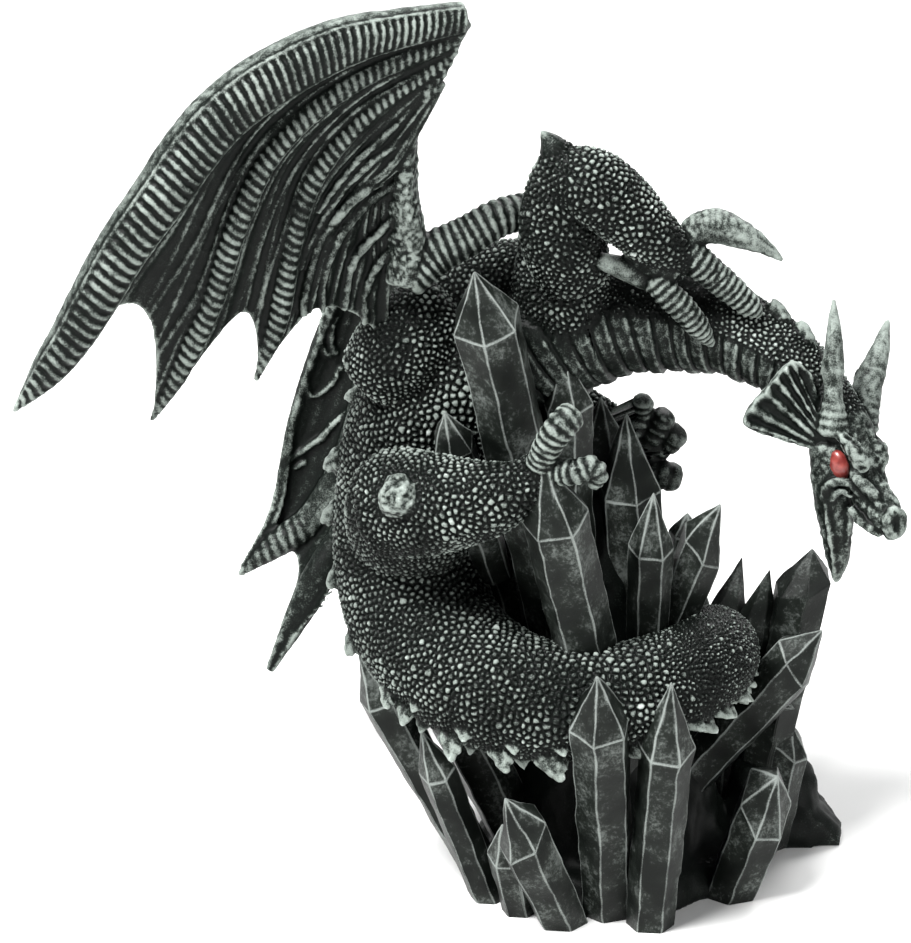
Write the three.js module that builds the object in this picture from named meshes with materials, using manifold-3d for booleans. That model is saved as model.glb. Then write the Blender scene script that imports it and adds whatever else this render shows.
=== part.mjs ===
// A dragon wound round a cluster of crystals: one resin casting, two wings glued into it and two gem eyes.
// Millimetres, +Z up. The front view looks along +Y, with +X to its right.
// The origin is on the underside, near its middle, on the surface that the statue stands on.

import * as THREE from "three";
import { mergeVertices } from "three/addons/utils/BufferGeometryUtils.js";
import Module from "manifold-3d";

// Driving sizes
const STATUE_HEIGHT = 187; // from the underside to the wrist of the raised wing
const MEMBRANE_THICKNESS = 1.8; // the skin of both wings
const FRILL_THICKNESS = 1.2; // the skin of the ear frills, between their ribs
const GROUND_THICKNESS = 6; // the rock that the crystals grow from
const GROUND_SLOPE = 4; // how far its sides run in on the way up
const EYE_RADIUS = 2.3; // the round of a gem, seen from the side of the head
const JOINT_GAP = 0.3; // the glue line round each wing root and each gem

// The figure's pose is drawn at this height, and follows the statue's height.
const DRAWN_HEIGHT = 187;
const SHARE = STATUE_HEIGHT / DRAWN_HEIGHT;

const wasm = await Module();
wasm.setup();

const point = ([x, y, z]) => new THREE.Vector3(x, y, z).multiplyScalar(SHARE);
const smoothCurve = (points) => new THREE.CatmullRomCurve3(points.map(point), false, "catmullrom");

// A geometry as a solid, with the vertices that its faces share merged.
function solid(geometry) {
  geometry.deleteAttribute("normal");
  geometry.deleteAttribute("uv");
  const merged = mergeVertices(geometry, 1e-4);
  return new wasm.Manifold(
    new wasm.Mesh({
      numProp: 3,
      vertProperties: new Float32Array(merged.attributes.position.array),
      triVerts: new Uint32Array(merged.index.array),
    }),
  );
}

const joined = (solids) => solids.reduce((whole, part) => whole.add(part));

const larger = (a, b) => (b.volume() > a.volume() ? b : a);
// The main body of a solid, without crumbs cut loose from it or pockets closed inside it
const mainBody = (body) => body.decompose().reduce(larger);

// Moves each vertex of a geometry to where the function puts it.
function reshaped(geometry, place) {
  const position = geometry.attributes.position;
  const vertex = new THREE.Vector3();
  for (let i = 0; i < position.count; i++) {
    place(vertex.fromBufferAttribute(position, i));
    position.setXYZ(i, vertex.x, vertex.y, vertex.z);
  }
  return geometry;
}

// Body parts

// The centre line and radius through stations [x, y, z, radius], with the direction of the back all along.
function strand(stations, backAt) {
  const line = smoothCurve(stations);
  const radii = smoothCurve(stations.map(([, , , radius]) => [radius, 0, 0]));
  return (t) => {
    const centre = line.getPoint(t);
    const along = line.getTangent(t);
    const side = new THREE.Vector3().crossVectors(along, backAt(t)).normalize();
    const back = new THREE.Vector3().crossVectors(side, along);
    return { centre, along, side, back, radius: Math.max(radii.getPoint(t).x, 0) };
  };
}

const CAP_BULGE = 1 / 3; // of a limb's end, as a share of its radius
const upward = () => new THREE.Vector3(0.02, 0.1, 1);
const towardsViewer = () => new THREE.Vector3(0.02, -1, 0.1);

// A closed limb round such a strand. The relief is a factor on the radius, at a place along it and round it,
// and grow is how far its surface is pushed out.
function limb(stations, options = {}) {
  const { sides = 8, rings = stations.length * 2, backAt = upward, relief = () => 1, grow = 0 } = options;
  const at = strand(stations, backAt);
  const cylinder = new THREE.CylinderGeometry(1, 1, 1, sides, rings);
  return solid(
    reshaped(cylinder, (v) => {
      const t = v.y + 0.5;
      const { centre, along, side, back, radius } = at(t);
      const isCap = Math.hypot(v.x, v.z) < 0.5;
      const r = radius * relief(t, Math.atan2(v.x, v.z)) + grow;
      const bulge = grow + radius * CAP_BULGE;
      const offset = side.multiplyScalar(v.x * r).addScaledVector(back, v.z * r);
      if (isCap) offset.addScaledVector(along, t < 0.5 ? -bulge : bulge);
      v.copy(centre).add(offset);
    }),
  );
}

// A curved skin: its middle surface is a function of two shares, and its thickness lies along one direction.
function skin(surface, { across, along, thickness, direction, grow = 0 }) {
  const box = new THREE.BoxGeometry(1, 1, 1, across, along, 1);
  const step = 0.02;
  return solid(
    reshaped(box, (v) => {
      const a = v.x + 0.5;
      const b = v.y + 0.5;
      const face = Math.sign(v.z);
      const middle = surface(a, b);
      const edge = new THREE.Vector3();
      if (a > 0.999) edge.add(middle.clone().sub(surface(a - step, b)).setLength(grow));
      if (b > 0.999) edge.add(middle.clone().sub(surface(a, b - step)).setLength(grow));
      const half = thickness(a, b) / 2 + grow;
      v.copy(middle).add(edge).addScaledVector(direction, face * half);
    }),
  );
}

// A cone with few sides, for a spike of the crest.
function spike(foot, direction, radius, height) {
  const cone = new THREE.ConeGeometry(radius, height, 4).translate(0, height / 2, 0);
  const turn = new THREE.Quaternion().setFromUnitVectors(new THREE.Vector3(0, 1, 0), direction);
  return solid(cone.applyQuaternion(turn).translate(foot.x, foot.y, foot.z));
}

// From the back of the head along neck, back and tail, which winds once round the crystals.
const SPINE = [
  [32, -24, 103, 6], [26.5, -19, 110, 6.6], [19.5, -15, 114.8, 7.6], [11.5, -11, 117.8, 8.7],
  [3.5, -8, 118.7, 9.8], [-7, -6, 118.7, 10.8], [-17.5, -4, 116.8, 12.9], [-28.5, -2, 112, 14.8],
  [-40, 0, 105, 16], [-47, 1, 93, 16.2], [-50, 1, 80, 15.5], [-51, -2, 68, 15],
  [-48.5, -9, 57.5, 14.6], [-42, -19, 52, 13.6], [-32.5, -27, 49, 12.6], [-22, -31, 48, 11.5],
  [-11.5, -32, 49, 10.5], [-2.5, -29.5, 50.5, 10.2], [5, -24, 51.5, 9.8], [9.5, -15, 51, 9.2],
  [10.5, -4, 48.5, 8.4], [9, 8, 44, 7.5], [3, 19, 38, 6.6], [-6, 27.5, 31.5, 5.7],
  [-17, 31.5, 25.5, 4.7], [-28, 28, 20.5, 3.8], [-36, 19, 18.5, 2.8], [-40, 9, 21, 1.6], [-41, 3, 25, 0.4],
];
// The direction of the back along it, at even steps from the head to the tip of the tail
const BACKS = [
  [0.5, -0.2, 0.85], [0.3, -0.1, 0.95], [-0.1, 0, 1], [-0.85, 0.1, 0.5], [-1, 0, -0.1], [-0.3, -0.6, -0.7],
  [0, -0.6, -0.8], [0.6, -0.3, -0.7], [0.5, 0.6, -0.6], [-0.3, 0.8, -0.3], [-0.8, 0.4, 0],
];
const backCurve = smoothCurve(BACKS);
const spineBack = (t) => backCurve.getPoint(t);
const BELLY_BANDS = 9; // from the throat to the chest
const BELLY_END = 8 / 28; // as a share of the spine's stations

// Each band swells slowly and drops at its end, on the half of the neck that faces the ground.
function bellyBands(t, angle) {
  if (t > BELLY_END || Math.abs(angle) < 1.4) return 1;
  const band = (t / BELLY_END) * BELLY_BANDS;
  return 1 - 0.09 * (band - Math.floor(band));
}

function neckBodyTail() {
  return limb(SPINE, { sides: 12, rings: 63, backAt: spineBack, relief: bellyBands });
}

// Leaf-shaped spikes that follow the ridge of the back, laid towards the tail.
function crest() {
  const at = strand(SPINE, spineBack);
  const spikes = [];
  const rows = [
    { from: 0.03, to: 0.13, count: 5, radius: 3.6, height: 5.4 },
    { from: 0.29, to: 0.455, count: 7, radius: 2.7, height: 3.4 },
    { from: 0.465, to: 0.7, count: 13, radius: 2.8, height: 5.2 },
    { from: 0.72, to: 0.93, count: 9, radius: 1.6, height: 3 },
  ];
  for (const { from, to, count, radius, height } of rows) {
    for (let i = 0; i < count; i++) {
      const place = at(from + ((to - from) * i) / (count - 1));
      const foot = place.centre.clone().addScaledVector(place.back, place.radius * 0.88);
      const direction = place.back.clone().addScaledVector(place.along, 0.5).normalize();
      spikes.push(spike(foot, direction, radius * SHARE, height * SHARE));
    }
  }
  return joined(spikes);
}

// Shoulders, the raised arm and its hand
const SHOULDER_BLADE = [[-44, -6, 121, 8], [-51, -8, 115, 9.5], [-57, -6, 107, 8]];
const SHOULDER = [[-22, 0, 125, 8], [-33, 1, 124, 8], [-43, -2, 119, 8]];
const WITHERS = [[-19, -4, 116, 12], [-21, -8, 128, 10], [-24, -8, 138, 5.5]];
const UPPER_ARM = [
  [-19, -14, 131, 7.5], [-21.5, -18, 140, 8], [-22, -21, 148, 6.6], [-22, -23, 154.5, 4.8],
  [-23.5, -23.5, 158.5, 2.6], [-25.5, -24, 161.5, 0.4],
];
const FOREARM = [
  [-21.5, -24, 154, 5], [-16, -25, 151.5, 6.8], [-10.5, -25, 147, 6.7], [-5, -24, 141.5, 5.6],
  [0, -22, 137, 4.2], [3, -21, 135.5, 3.4],
];
const PALM = [[-8, -21.5, 138.5, 3], [-3.5, -21.5, 136, 4.4], [0.5, -21.5, 134.5, 4]];
// Skin between the wrist and the neck
const FLAP = [
  [-16, -20, 135.4, 1.2], [-11.5, -21.5, 134.6, 2], [-7.5, -21.5, 133, 2.4], [-3.5, -21.5, 131, 2.2],
];
// A bent claw, then two fingers laid along the neck
const FINGERS = [
  [[2.3, -20, 138, 2.8], [4.3, -20, 141, 3.1], [8, -20, 141.8, 3.4], [12, -20, 140.4, 2.8],
    [16.4, -20, 138.2, 1.8], [20.8, -20, 135, 0.3]],
  [[1, -22, 138, 3], [4.5, -22, 135.3, 3], [8, -21, 132, 2.9], [11.6, -20.5, 128.8, 2.7],
    [15, -20, 125.5, 2.4], [18, -19, 122.5, 1.2]],
  [[-3.7, -23.5, 132.4, 2.5], [-1.2, -24, 129.5, 2.6], [1.8, -23.5, 126.3, 2.5], [4.8, -22, 122.2, 2.2],
    [7.5, -19.5, 118, 0.8]],
];
// The other arm, behind the chest, holds the crystals.
const FAR_ARM = [
  [-24, 9, 113, 7.5], [-29, 20, 108, 6.5], [-27, 25, 99, 5.5], [-18, 20, 93, 4.4], [-11, 12, 92, 3.2],
];

function forelegs() {
  return joined([
    limb(SHOULDER_BLADE, { rings: 5 }),
    limb(SHOULDER, { rings: 4 }),
    limb(WITHERS, { rings: 5, backAt: towardsViewer }),
    limb(UPPER_ARM, { backAt: towardsViewer }),
    limb(FOREARM),
    limb(PALM, { rings: 4 }),
    limb(FLAP, { sides: 6, rings: 6 }),
    ...FINGERS.map((stations) => limb(stations, { sides: 6, rings: 7 })),
    limb(FAR_ARM),
  ]);
}

// Haunches, shins and toes, which hold the crystals from both sides
const SHIN = [
  [-53, -20, 85.5, 11], [-46, -27, 88, 9.8], [-38, -31, 90, 8], [-33, -33, 92, 6.6], [-28.5, -34, 94.5, 5],
  [-24, -34, 98, 4],
];
const KNEE = [[-50.6, -26, 87, 4.4], [-50.6, -30.2, 88.3, 3.8]];
const THIGH = [[-50, -4, 74, 13], [-51, -13, 81, 12.5], [-52, -19, 86, 11]];
const TOES = [
  [[-26, -36, 99, 2.6], [-23.5, -38, 105, 2.8], [-21.5, -38, 108, 2.9], [-19.5, -36, 109.5, 2.6]],
  [[-23, -36, 98, 2.8], [-19, -38, 98.5, 2.4], [-16, -38, 99.5, 2.1], [-14.5, -38, 98, 1.8],
    [-15.5, -37, 95.5, 1.2]],
];
const FAR_LEG = [
  [-50, 8, 76, 12], [-46, 24, 80, 10], [-36, 31, 76, 8], [-22, 26, 76, 6], [-10, 18, 80, 4.6],
  [-4, 14, 84, 3.6],
];
const FAR_TOES = [
  [[-6, 13, 88, 2.2], [-4, 13, 93, 2.3], [-4, 11, 96, 2]],
  [[-4, 14, 85, 2.4], [-1, 14, 89, 2.8], [0.8, 13, 92.2, 2.4]],
  [[-3, 15, 83, 2.6], [1.5, 15, 86, 2.8], [3.3, 14, 88.2, 2.6]],
  [[-5, 14, 80, 2.8], [0.5, 14, 79, 3], [3.2, 15, 78, 2.8]],
];

function hindlegs() {
  return joined([
    limb(THIGH, { rings: 4, backAt: upward }),
    limb(SHIN),
    limb(KNEE, { rings: 2, backAt: upward }),
    ...TOES.map((stations) => limb(stations, { sides: 6, rings: 6 })),
    limb(FAR_LEG),
    ...FAR_TOES.map((stations) => limb(stations, { sides: 6, rings: 3 })),
  ]);
}

// The head, turned to the viewer, with its mouth open
const SKULL = [[29.5, -23, 106, 6], [32.5, -24, 102.5, 6], [35.2, -26, 98, 5.4], [37, -28.5, 94.5, 4.6]];
const SNOUT = [
  [35.9, -27, 95.5, 4.8], [37.7, -31, 92, 3.9], [39.8, -34, 89.8, 3.5], [41.3, -36, 87.6, 2.9],
  [41.7, -36.6, 84.6, 1.1],
];
const LOWER_JAW = [
  [30.9, -26, 99.5, 4.6], [31.2, -28, 91.5, 4.1], [31.8, -29, 85.6, 3.5], [32.1, -30, 80.6, 2.7],
  [32.3, -30, 76.4, 1.8], [32.1, -30, 73, 0.6],
];
const HORNS = [
  [[30.8, -29, 103.5, 3], [30.6, -28.6, 107, 2.5], [30.5, -28, 110, 1.8], [30.5, -27, 112.8, 1.8],
    [30.5, -26, 115.6, 2.2], [30.7, -25, 118.6, 1.8], [30.7, -23, 123.4, 1.2], [30.7, -21, 127.5, 0.3]],
  [[36.9, -20, 101, 3.4], [37.3, -19, 104.4, 3.2], [38.1, -17, 107.8, 2.9], [39.2, -15, 110.6, 2.6],
    [40.8, -13, 114.3, 1.9], [41.7, -11, 117, 1.2], [42.6, -9, 119.6, 0.3]],
];
const BROWS = [
  [[31, -31, 104, 1], [33.3, -33.2, 102, 1.9], [35.2, -34.4, 99.8, 1.9], [36.6, -34.3, 97.4, 1]],
  [[37.4, -25, 101.8, 1.2], [39.1, -27.5, 99.8, 2.2], [39.9, -29, 97.8, 2.2], [39.4, -30, 95.8, 1]],
];
const NOSTRILS = [
  [[42.3, -36, 87.5, 2], [43, -38, 88, 1.6]],
  [[43.4, -34, 88, 1.7], [44.5, -34.5, 88.3, 1.3]],
];
const TEETH = [
  [[36.5, -33, 90, 1.4], [35.6, -34, 87.8, 0.7]],
  [[38.8, -34.5, 88.5, 1.2], [38.3, -35.5, 86.3, 0.5]],
];
const FRILLS = [
  {
    root: [29, -27, 102.5],
    rim: [
      [26.3, -26.5, 114.5], [22.5, -27, 117], [18.3, -27.5, 112.8], [13.3, -29, 103.8], [21.5, -29, 101.4],
    ],
  },
  {
    root: [37.5, -19, 100.5],
    rim: [[36, -15, 110], [37, -13, 111], [39, -6, 108], [40, 2, 103.5], [39, -4, 100.5]],
  },
];
const FRILL_RIBS = 5;
const EYES = [
  { centre: [31.6, -30.2, 97.6], outward: [-0.7, -0.7, -0.1] },
  { centre: [38.3, -22.8, 98.4], outward: [0.75, 0.63, 0.15] },
];
const GEM_DEPTH = 0.7; // of a gem, as a share of its round

// A fan of skin from the cheek, thick where its ribs run.
function frill({ root, rim }) {
  const start = point(root);
  const edge = smoothCurve(rim);
  const fan = (a, b) => start.clone().lerp(edge.getPoint(a), 0.08 + 0.92 * b);
  const ribbed = (a) => FRILL_THICKNESS * (1.5 + Math.cos(a * FRILL_RIBS * 2 * Math.PI));
  const direction = edge.getPoint(0).sub(start).cross(edge.getPoint(0.7).sub(start)).normalize();
  return skin(fan, { across: FRILL_RIBS * 2, along: 2, thickness: ribbed, direction: direction.negate() });
}

// A gem, or with more room round it, its socket.
function gem({ centre, outward }, room) {
  const sphere = new THREE.SphereGeometry(1, 10, 8).scale(1, 1, GEM_DEPTH).rotateX(Math.PI / 2);
  const facing = new THREE.Vector3(...outward).normalize();
  const turn = new THREE.Quaternion().setFromUnitVectors(new THREE.Vector3(0, 1, 0), facing);
  const radius = EYE_RADIUS + room;
  sphere.scale(radius, radius, radius);
  const middle = point(centre);
  return solid(sphere.applyQuaternion(turn).translate(middle.x, middle.y, middle.z));
}

function head() {
  return joined([
    limb(SKULL, { rings: 6 }),
    limb(SNOUT, { rings: 6 }),
    limb(LOWER_JAW, { rings: 6, backAt: towardsViewer }),
    ...HORNS.map((stations) => limb(stations, { sides: 6, rings: 9, backAt: towardsViewer })),
    ...BROWS.map((stations) => limb(stations, { sides: 5, rings: 4, backAt: towardsViewer })),
    ...[...NOSTRILS, ...TEETH].map((stations) => limb(stations, { sides: 6, rings: 1, backAt: upward })),
    ...FRILLS.map(frill),
  ]);
}

// Wings

// Each wing: bones that carry the skin, from the leading one to the line along the body, and its arm.
// For each panel of skin, the reach is the share of its two bones that it follows.
// The notch is how far its rim is drawn in between them.
const RIGHT_WING = {
  bones: [
    [[-40.5, -28, 184.5, 3], [-52.5, -31, 183, 3.8], [-63.5, -34, 180.8, 4.8], [-75.5, -37, 175.4, 5.4],
      [-84.5, -39, 169, 5.5], [-91, -40, 161.5, 5.5], [-97, -41, 153, 5.3], [-103, -41, 144.5, 5.1],
      [-108.5, -40, 135, 4.8], [-113.7, -38, 125.8, 4.2], [-119, -36, 118, 3.2], [-125.6, -34, 109.4, 0.4]],
    [[-42, -27, 180, 2], [-61, -31, 172.5, 2.2], [-75, -34, 161, 2.3], [-82, -35, 147.5, 2.3],
      [-87.5, -33, 131, 2.3], [-94, -30, 116.5, 2], [-100, -28, 105.5, 0.4]],
    [[-43.5, -26, 176, 1.8], [-58, -28, 166, 1.9], [-68, -29, 154, 1.9], [-72.5, -28, 140.5, 1.9],
      [-75.5, -26, 125, 2.1], [-80, -25, 112.6, 0.5]],
    [[-44, -25, 171, 1.2], [-53, -24, 155, 1.2], [-60, -24, 149, 1.2], [-66, -24, 140.5, 1.3],
      [-70, -22, 125.5, 1.2]],
    [[-45, -26, 174, 1.5], [-52, -23, 160, 1.5], [-55, -20, 147, 1.5], [-55, -16, 132, 1.5],
      [-56, -12, 117, 1.5]],
  ],
  reach: [[0.8, 1], [1, 1], [1, 1], [1, 1]],
  notch: [0.16, 0.26, 0, 0.04],
  arm: [
    [[-24, -8, 142, 3.4], [-33, -13, 141.5, 3.6], [-40, -15, 138, 3.9], [-46, -16, 135, 4.3],
      [-51, -17, 130.5, 4]],
    [[-51, -17, 130.5, 4], [-50.8, -18, 138.5, 3.6], [-51.5, -20, 147, 3], [-51.4, -21, 155, 2.6],
      [-50, -23, 163.5, 2], [-46.5, -25, 170.5, 1.8], [-43.5, -26, 177.5, 1.8], [-41, -28, 184, 2.2]],
  ],
};
const LEFT_WING = {
  bones: [
    [[-53, 46, 124, 1.6], [-62, 54, 112, 1.6], [-69.5, 58, 96, 1.5], [-76.5, 60, 75, 1.2],
      [-80.5, 58, 55, 1.2], [-87.5, 55, 42.5, 0.6]],
    [[-52, 46, 122, 2.8], [-54.4, 53, 107, 3.4], [-59, 58, 88, 3.6], [-63.8, 58, 68.5, 3.6],
      [-72.2, 57, 53.6, 3.4], [-80, 56, 48, 2.9], [-88.5, 54, 41.5, 0.5]],
    [[-52, 45, 120, 2], [-54.5, 50, 100, 2.2], [-58, 51, 75.5, 2.2], [-64.5, 49, 56, 2.6],
      [-72, 46, 42, 3.4], [-81.6, 42, 24, 0.8]],
    [[-51, 44, 118, 1.8], [-51, 43, 98, 1.8], [-53.5, 40, 75, 1.8], [-58.5, 37, 56, 1.6], [-66, 34, 45, 0.5]],
    [[-49, 43, 116, 1.5], [-46, 36, 106, 1.5], [-45, 26, 95, 1.5], [-47, 17, 82, 1.5], [-50, 12, 66, 1.5]],
  ],
  reach: [[1, 1], [0.8, 1], [1, 1], [1, 1]],
  notch: [0, 0.1, 0.03, 0.08],
  arm: [
    [[-27, 8, 122, 3.4], [-33, 20, 117, 4], [-39, 31, 111, 4.4], [-45, 38, 108, 4]],
    [[-45, 38, 108, 4], [-48, 41, 114, 3.6], [-50, 44, 119, 3], [-52, 46, 124, 2.6]],
  ],
};
const HOLLOW = 2.2; // how far the skin sinks between two bones
const HOLLOW_FULL_AT = 0.5; // the share of the bones' length where it is that deep
const NOTCH_ROUNDING = 0.8; // under 1, a notch is rounder than a sine's bow
const PANEL_STRIPS = 4; // flat strips across each panel of skin

function wingSkin({ bones, reach, notch }, grow) {
  const lines = bones.map(smoothCurve);
  const panels = bones.length - 1;
  const surface = (a, b) => {
    const panel = Math.min(Math.floor(a * panels + 1e-6), panels - 1);
    const k = Math.min(Math.max(a * panels - panel, 0), 1);
    const bow = Math.sin(Math.PI * k);
    const share = b * (1 - notch[panel] * Math.pow(Math.max(bow, 0), NOTCH_ROUNDING));
    const from = lines[panel].getPoint(share * reach[panel][0]);
    const to = lines[panel + 1].getPoint(share * reach[panel][1]);
    const place = from.lerp(to, k);
    place.y += HOLLOW * SHARE * bow * Math.min(b / HOLLOW_FULL_AT, 1);
    return place;
  };
  const thickness = () => MEMBRANE_THICKNESS;
  const direction = new THREE.Vector3(0, 1, 0);
  return skin(surface, { across: panels * PANEL_STRIPS, along: 8, thickness, direction, grow });
}

function wing(form, grow) {
  const ringsOf = (stations) => Math.ceil(stations.length * 1.3);
  const round = (stations) => ({ sides: 6, rings: ringsOf(stations), backAt: towardsViewer, grow });
  const bones = [...form.bones, ...form.arm].map((stations) => limb(stations, round(stations)));
  return mainBody(joined([wingSkin(form, grow), ...bones]));
}

// Crystals and the rock that they grow from

// A six-sided crystal from its foot to its tip. The shoulder is how many radii below the tip its sides start,
// and the slant how much lower still on its right and on its front. The spin turns its edges from the viewer.
function crystal({ tip, foot, radius, shoulder = 1.9, slant = [0, 0.3], spin = 20 }) {
  const top = point(tip);
  const base = point(foot);
  const axis = top.clone().sub(base);
  const length = axis.length();
  axis.normalize();
  const front = new THREE.Vector3(0, -1, 0).addScaledVector(axis, axis.y).normalize();
  const right = new THREE.Vector3().crossVectors(axis, front);
  const r = radius * SHARE;
  const start = THREE.MathUtils.degToRad(spin);
  const prism = new THREE.CylinderGeometry(r, r * FOOT_TAPER, length, 6, 1, false, start);
  return solid(
    reshaped(prism, (v) => {
      const { x, y, z } = v;
      const lowered = y > 0 && Math.hypot(x, z) > r / 2 ? r * shoulder + slant[0] * x + slant[1] * z : 0;
      v.copy(base).addScaledVector(axis, y + length / 2 - lowered);
      v.addScaledVector(right, x).addScaledVector(front, z);
    }),
  );
}

const FOOT_TAPER = 0.86; // the radius at a crystal's foot, as a share of the radius at its shoulder
const CRYSTALS = [
  // in front of the tail, from the left
  { tip: [-61, -12, 50], foot: [-30.8, -15, -6], radius: 5 },
  { tip: [-48.5, -24, 39], foot: [-33.5, -19, -4], radius: 4, shoulder: 2.4 },
  { tip: [-32.5, -32, 22.5], foot: [-28, -24, -4], radius: 4.2 },
  { tip: [-32, -42, 32.5], foot: [-19, -29, -3], radius: 5.6, slant: [-0.5, 0.3], spin: 15 },
  { tip: [-14.5, -46, 60], foot: [-11, -25, -2], radius: 6.2, spin: -12 },
  { tip: [0, -42, 57], foot: [-3, -30.5, -4], radius: 5.6, shoulder: 2.6, spin: 25 },
  { tip: [22.5, -24, 29], foot: [13, -17, -3], radius: 6, shoulder: 1.2, slant: [0.4, 0.9], spin: -5 },
  // up from the middle, beside the chest and between the feet
  { tip: [-38, -27, 135], foot: [-18, -8, 40], radius: 6.8, shoulder: 1.6, spin: -10 },
  { tip: [-20.5, -14, 116], foot: [-17, -4, 30], radius: 5.2, shoulder: 2.3, spin: 15 },
  { tip: [-44, -24, 106], foot: [-34, -8, 66], radius: 4.4, spin: -10 },
  { tip: [-25.5, -38, 101], foot: [-10, -20, 30], radius: 6.8, spin: 25 },
  { tip: [-8, -4, 99], foot: [-4, -4, 30], radius: 6.6, shoulder: 2.4, spin: 10 },
  { tip: [-12.5, 5, 99], foot: [-10, 2, 30], radius: 6 },
  { tip: [-3, -17, 87], foot: [-4, -14, 30], radius: 4.6, shoulder: 2.6, spin: 28 },
  { tip: [10.5, -12, 82.5], foot: [-2, -9, 46], radius: 5.1, shoulder: 1.9, slant: [0.5, 0.3], spin: 5 },
  { tip: [5, 2, 75.5], foot: [3, 0, 40], radius: 3.6, shoulder: 1.2 },
  // at the right
  { tip: [17, 12, 61.8], foot: [9, 4, 30], radius: 4.6, shoulder: 2.8 },
  { tip: [22.5, 8, 60.8], foot: [15, 3, 30], radius: 4.6, shoulder: 2.8 },
  { tip: [30.5, 6, 66], foot: [17.5, 4, -3], radius: 5.8, shoulder: 1.3, slant: [-0.4, 0.3], spin: 5 },
  { tip: [32.5, -4, 52.2], foot: [6, -4, 20], radius: 5.9, shoulder: 1.5, slant: [0.3, 0.2], spin: 35 },
  { tip: [27.6, 0, 33], foot: [19, 2, 36], radius: 2.6, shoulder: 1.6 },
  { tip: [27.5, 4, 28], foot: [23, 2, 2], radius: 4.8, shoulder: 0.8, slant: [0.5, 0.5] },
  { tip: [14, 14, 46], foot: [10, 10, 0], radius: 7 },
  // behind, plainer, the first ones up to the back and the haunches
  { tip: [-36, 10, 94], foot: [-20, 6, 20], radius: 8 },
  { tip: [-46, -6, 44], foot: [-26, -6, 2], radius: 6.4 },
  { tip: [-30, 24, 88], foot: [-14, 10, 4], radius: 7 },
  { tip: [-46, 6, 50], foot: [-26, 6, 4], radius: 7 },
  { tip: [-12, 32, 62], foot: [-8, 16, 0], radius: 6.5 },
  { tip: [10, 38, 48], foot: [4, 20, -4], radius: 6 },
  { tip: [28, 30, 34], foot: [18, 22, -4], radius: 6 },
  { tip: [-34, 44, 36], foot: [-22, 28, -4], radius: 5.4 },
];

// The rock's outline, from the left round the front, at the surface that it stands on
const GROUND = [
  [-38, 4], [-37, -16], [-26, -24], [-16, -29], [0, -28], [9, -21], [17, -17], [20, -11], [24, 0], [29, 4],
  [38.6, 5], [38, 20], [33, 34], [14, 40], [-12, 42], [-32, 32],
];
// The rocky heart of the cluster: stations up the middle
const HEART = [[-9, 2, 3, 24], [-10, 2, 20, 20], [-12, 2, 42, 17], [-13, 2, 60, 13], [-12, 2, 78, 7]];
const CRAGS = [
  [[27, 11, 3, 9], [28.5, 11, 9, 6.5], [29, 11, 15, 4], [29, 11, 19, 1.5]],
  [[20, 0, 3, 7], [20, 1, 10, 5], [19, 2, 20, 4]],
];

function crystalCluster() {
  const outline = new THREE.Shape(GROUND.map(([x, y]) => new THREE.Vector2(x, y).multiplyScalar(SHARE)));
  const ground = new THREE.ExtrudeGeometry(outline, {
    depth: GROUND_THICKNESS,
    bevelThickness: GROUND_THICKNESS,
    bevelSize: GROUND_SLOPE,
    bevelOffset: -GROUND_SLOPE,
    bevelSegments: 1,
  }).translate(0, 0, -GROUND_THICKNESS);
  return joined([
    solid(ground),
    limb(HEART, { sides: 7, rings: 5, backAt: towardsViewer }),
    ...CRAGS.map((stations) => limb(stations, { sides: 6, rings: 3, backAt: towardsViewer })),
    ...CRYSTALS.map(crystal),
  ]);
}

// All that reaches below the surface is cut off flat.
function flatUnderside(body) {
  const reach = STATUE_HEIGHT * 2;
  const below = new THREE.BoxGeometry(reach, reach, reach).translate(0, 0, -reach / 2);
  return body.subtract(solid(below));
}

// The casting leaves a gap round each wing root and each gem.
function casting() {
  const figure = joined([neckBodyTail(), crest(), forelegs(), hindlegs(), head(), crystalCluster()]);
  const room = joined([
    wing(RIGHT_WING, JOINT_GAP),
    wing(LEFT_WING, JOINT_GAP),
    ...EYES.map((eye) => gem(eye, JOINT_GAP)),
  ]);
  return mainBody(flatUnderside(figure).subtract(room));
}

// Materials and scene
const RESIN = { color: 0x2f3431, roughness: 0.55, metalness: 0.1 };
const GEM = { color: 0x9c1f1c, roughness: 0.15, metalness: 0 };

function meshOf(body, name, finish) {
  const { vertProperties, triVerts } = body.getMesh();
  const geometry = new THREE.BufferGeometry();
  geometry.setAttribute("position", new THREE.BufferAttribute(vertProperties, 3));
  geometry.setIndex(new THREE.BufferAttribute(triVerts, 1));
  geometry.computeVertexNormals();
  const mesh = new THREE.Mesh(geometry, new THREE.MeshStandardMaterial({ ...finish, flatShading: true }));
  mesh.name = name;
  return mesh;
}

const statue = new THREE.Group();
statue.add(
  meshOf(casting(), "dragon_on_crystals", RESIN),
  meshOf(wing(RIGHT_WING, 0), "wing_right", RESIN),
  meshOf(wing(LEFT_WING, 0), "wing_left", RESIN),
  meshOf(gem(EYES[0], 0), "eye_right", GEM),
  meshOf(gem(EYES[1], 0), "eye_left", GEM),
);

export default statue;
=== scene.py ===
"""A small cast statue of a dragon wound round a cluster of crystals, in near-black resin brushed with silver.

Forms are worked out in the millimetres of the part's own drawing and turned into metres when a piece is made.
"""

import math

import bpy
import numpy as np
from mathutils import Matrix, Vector, kdtree


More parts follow.
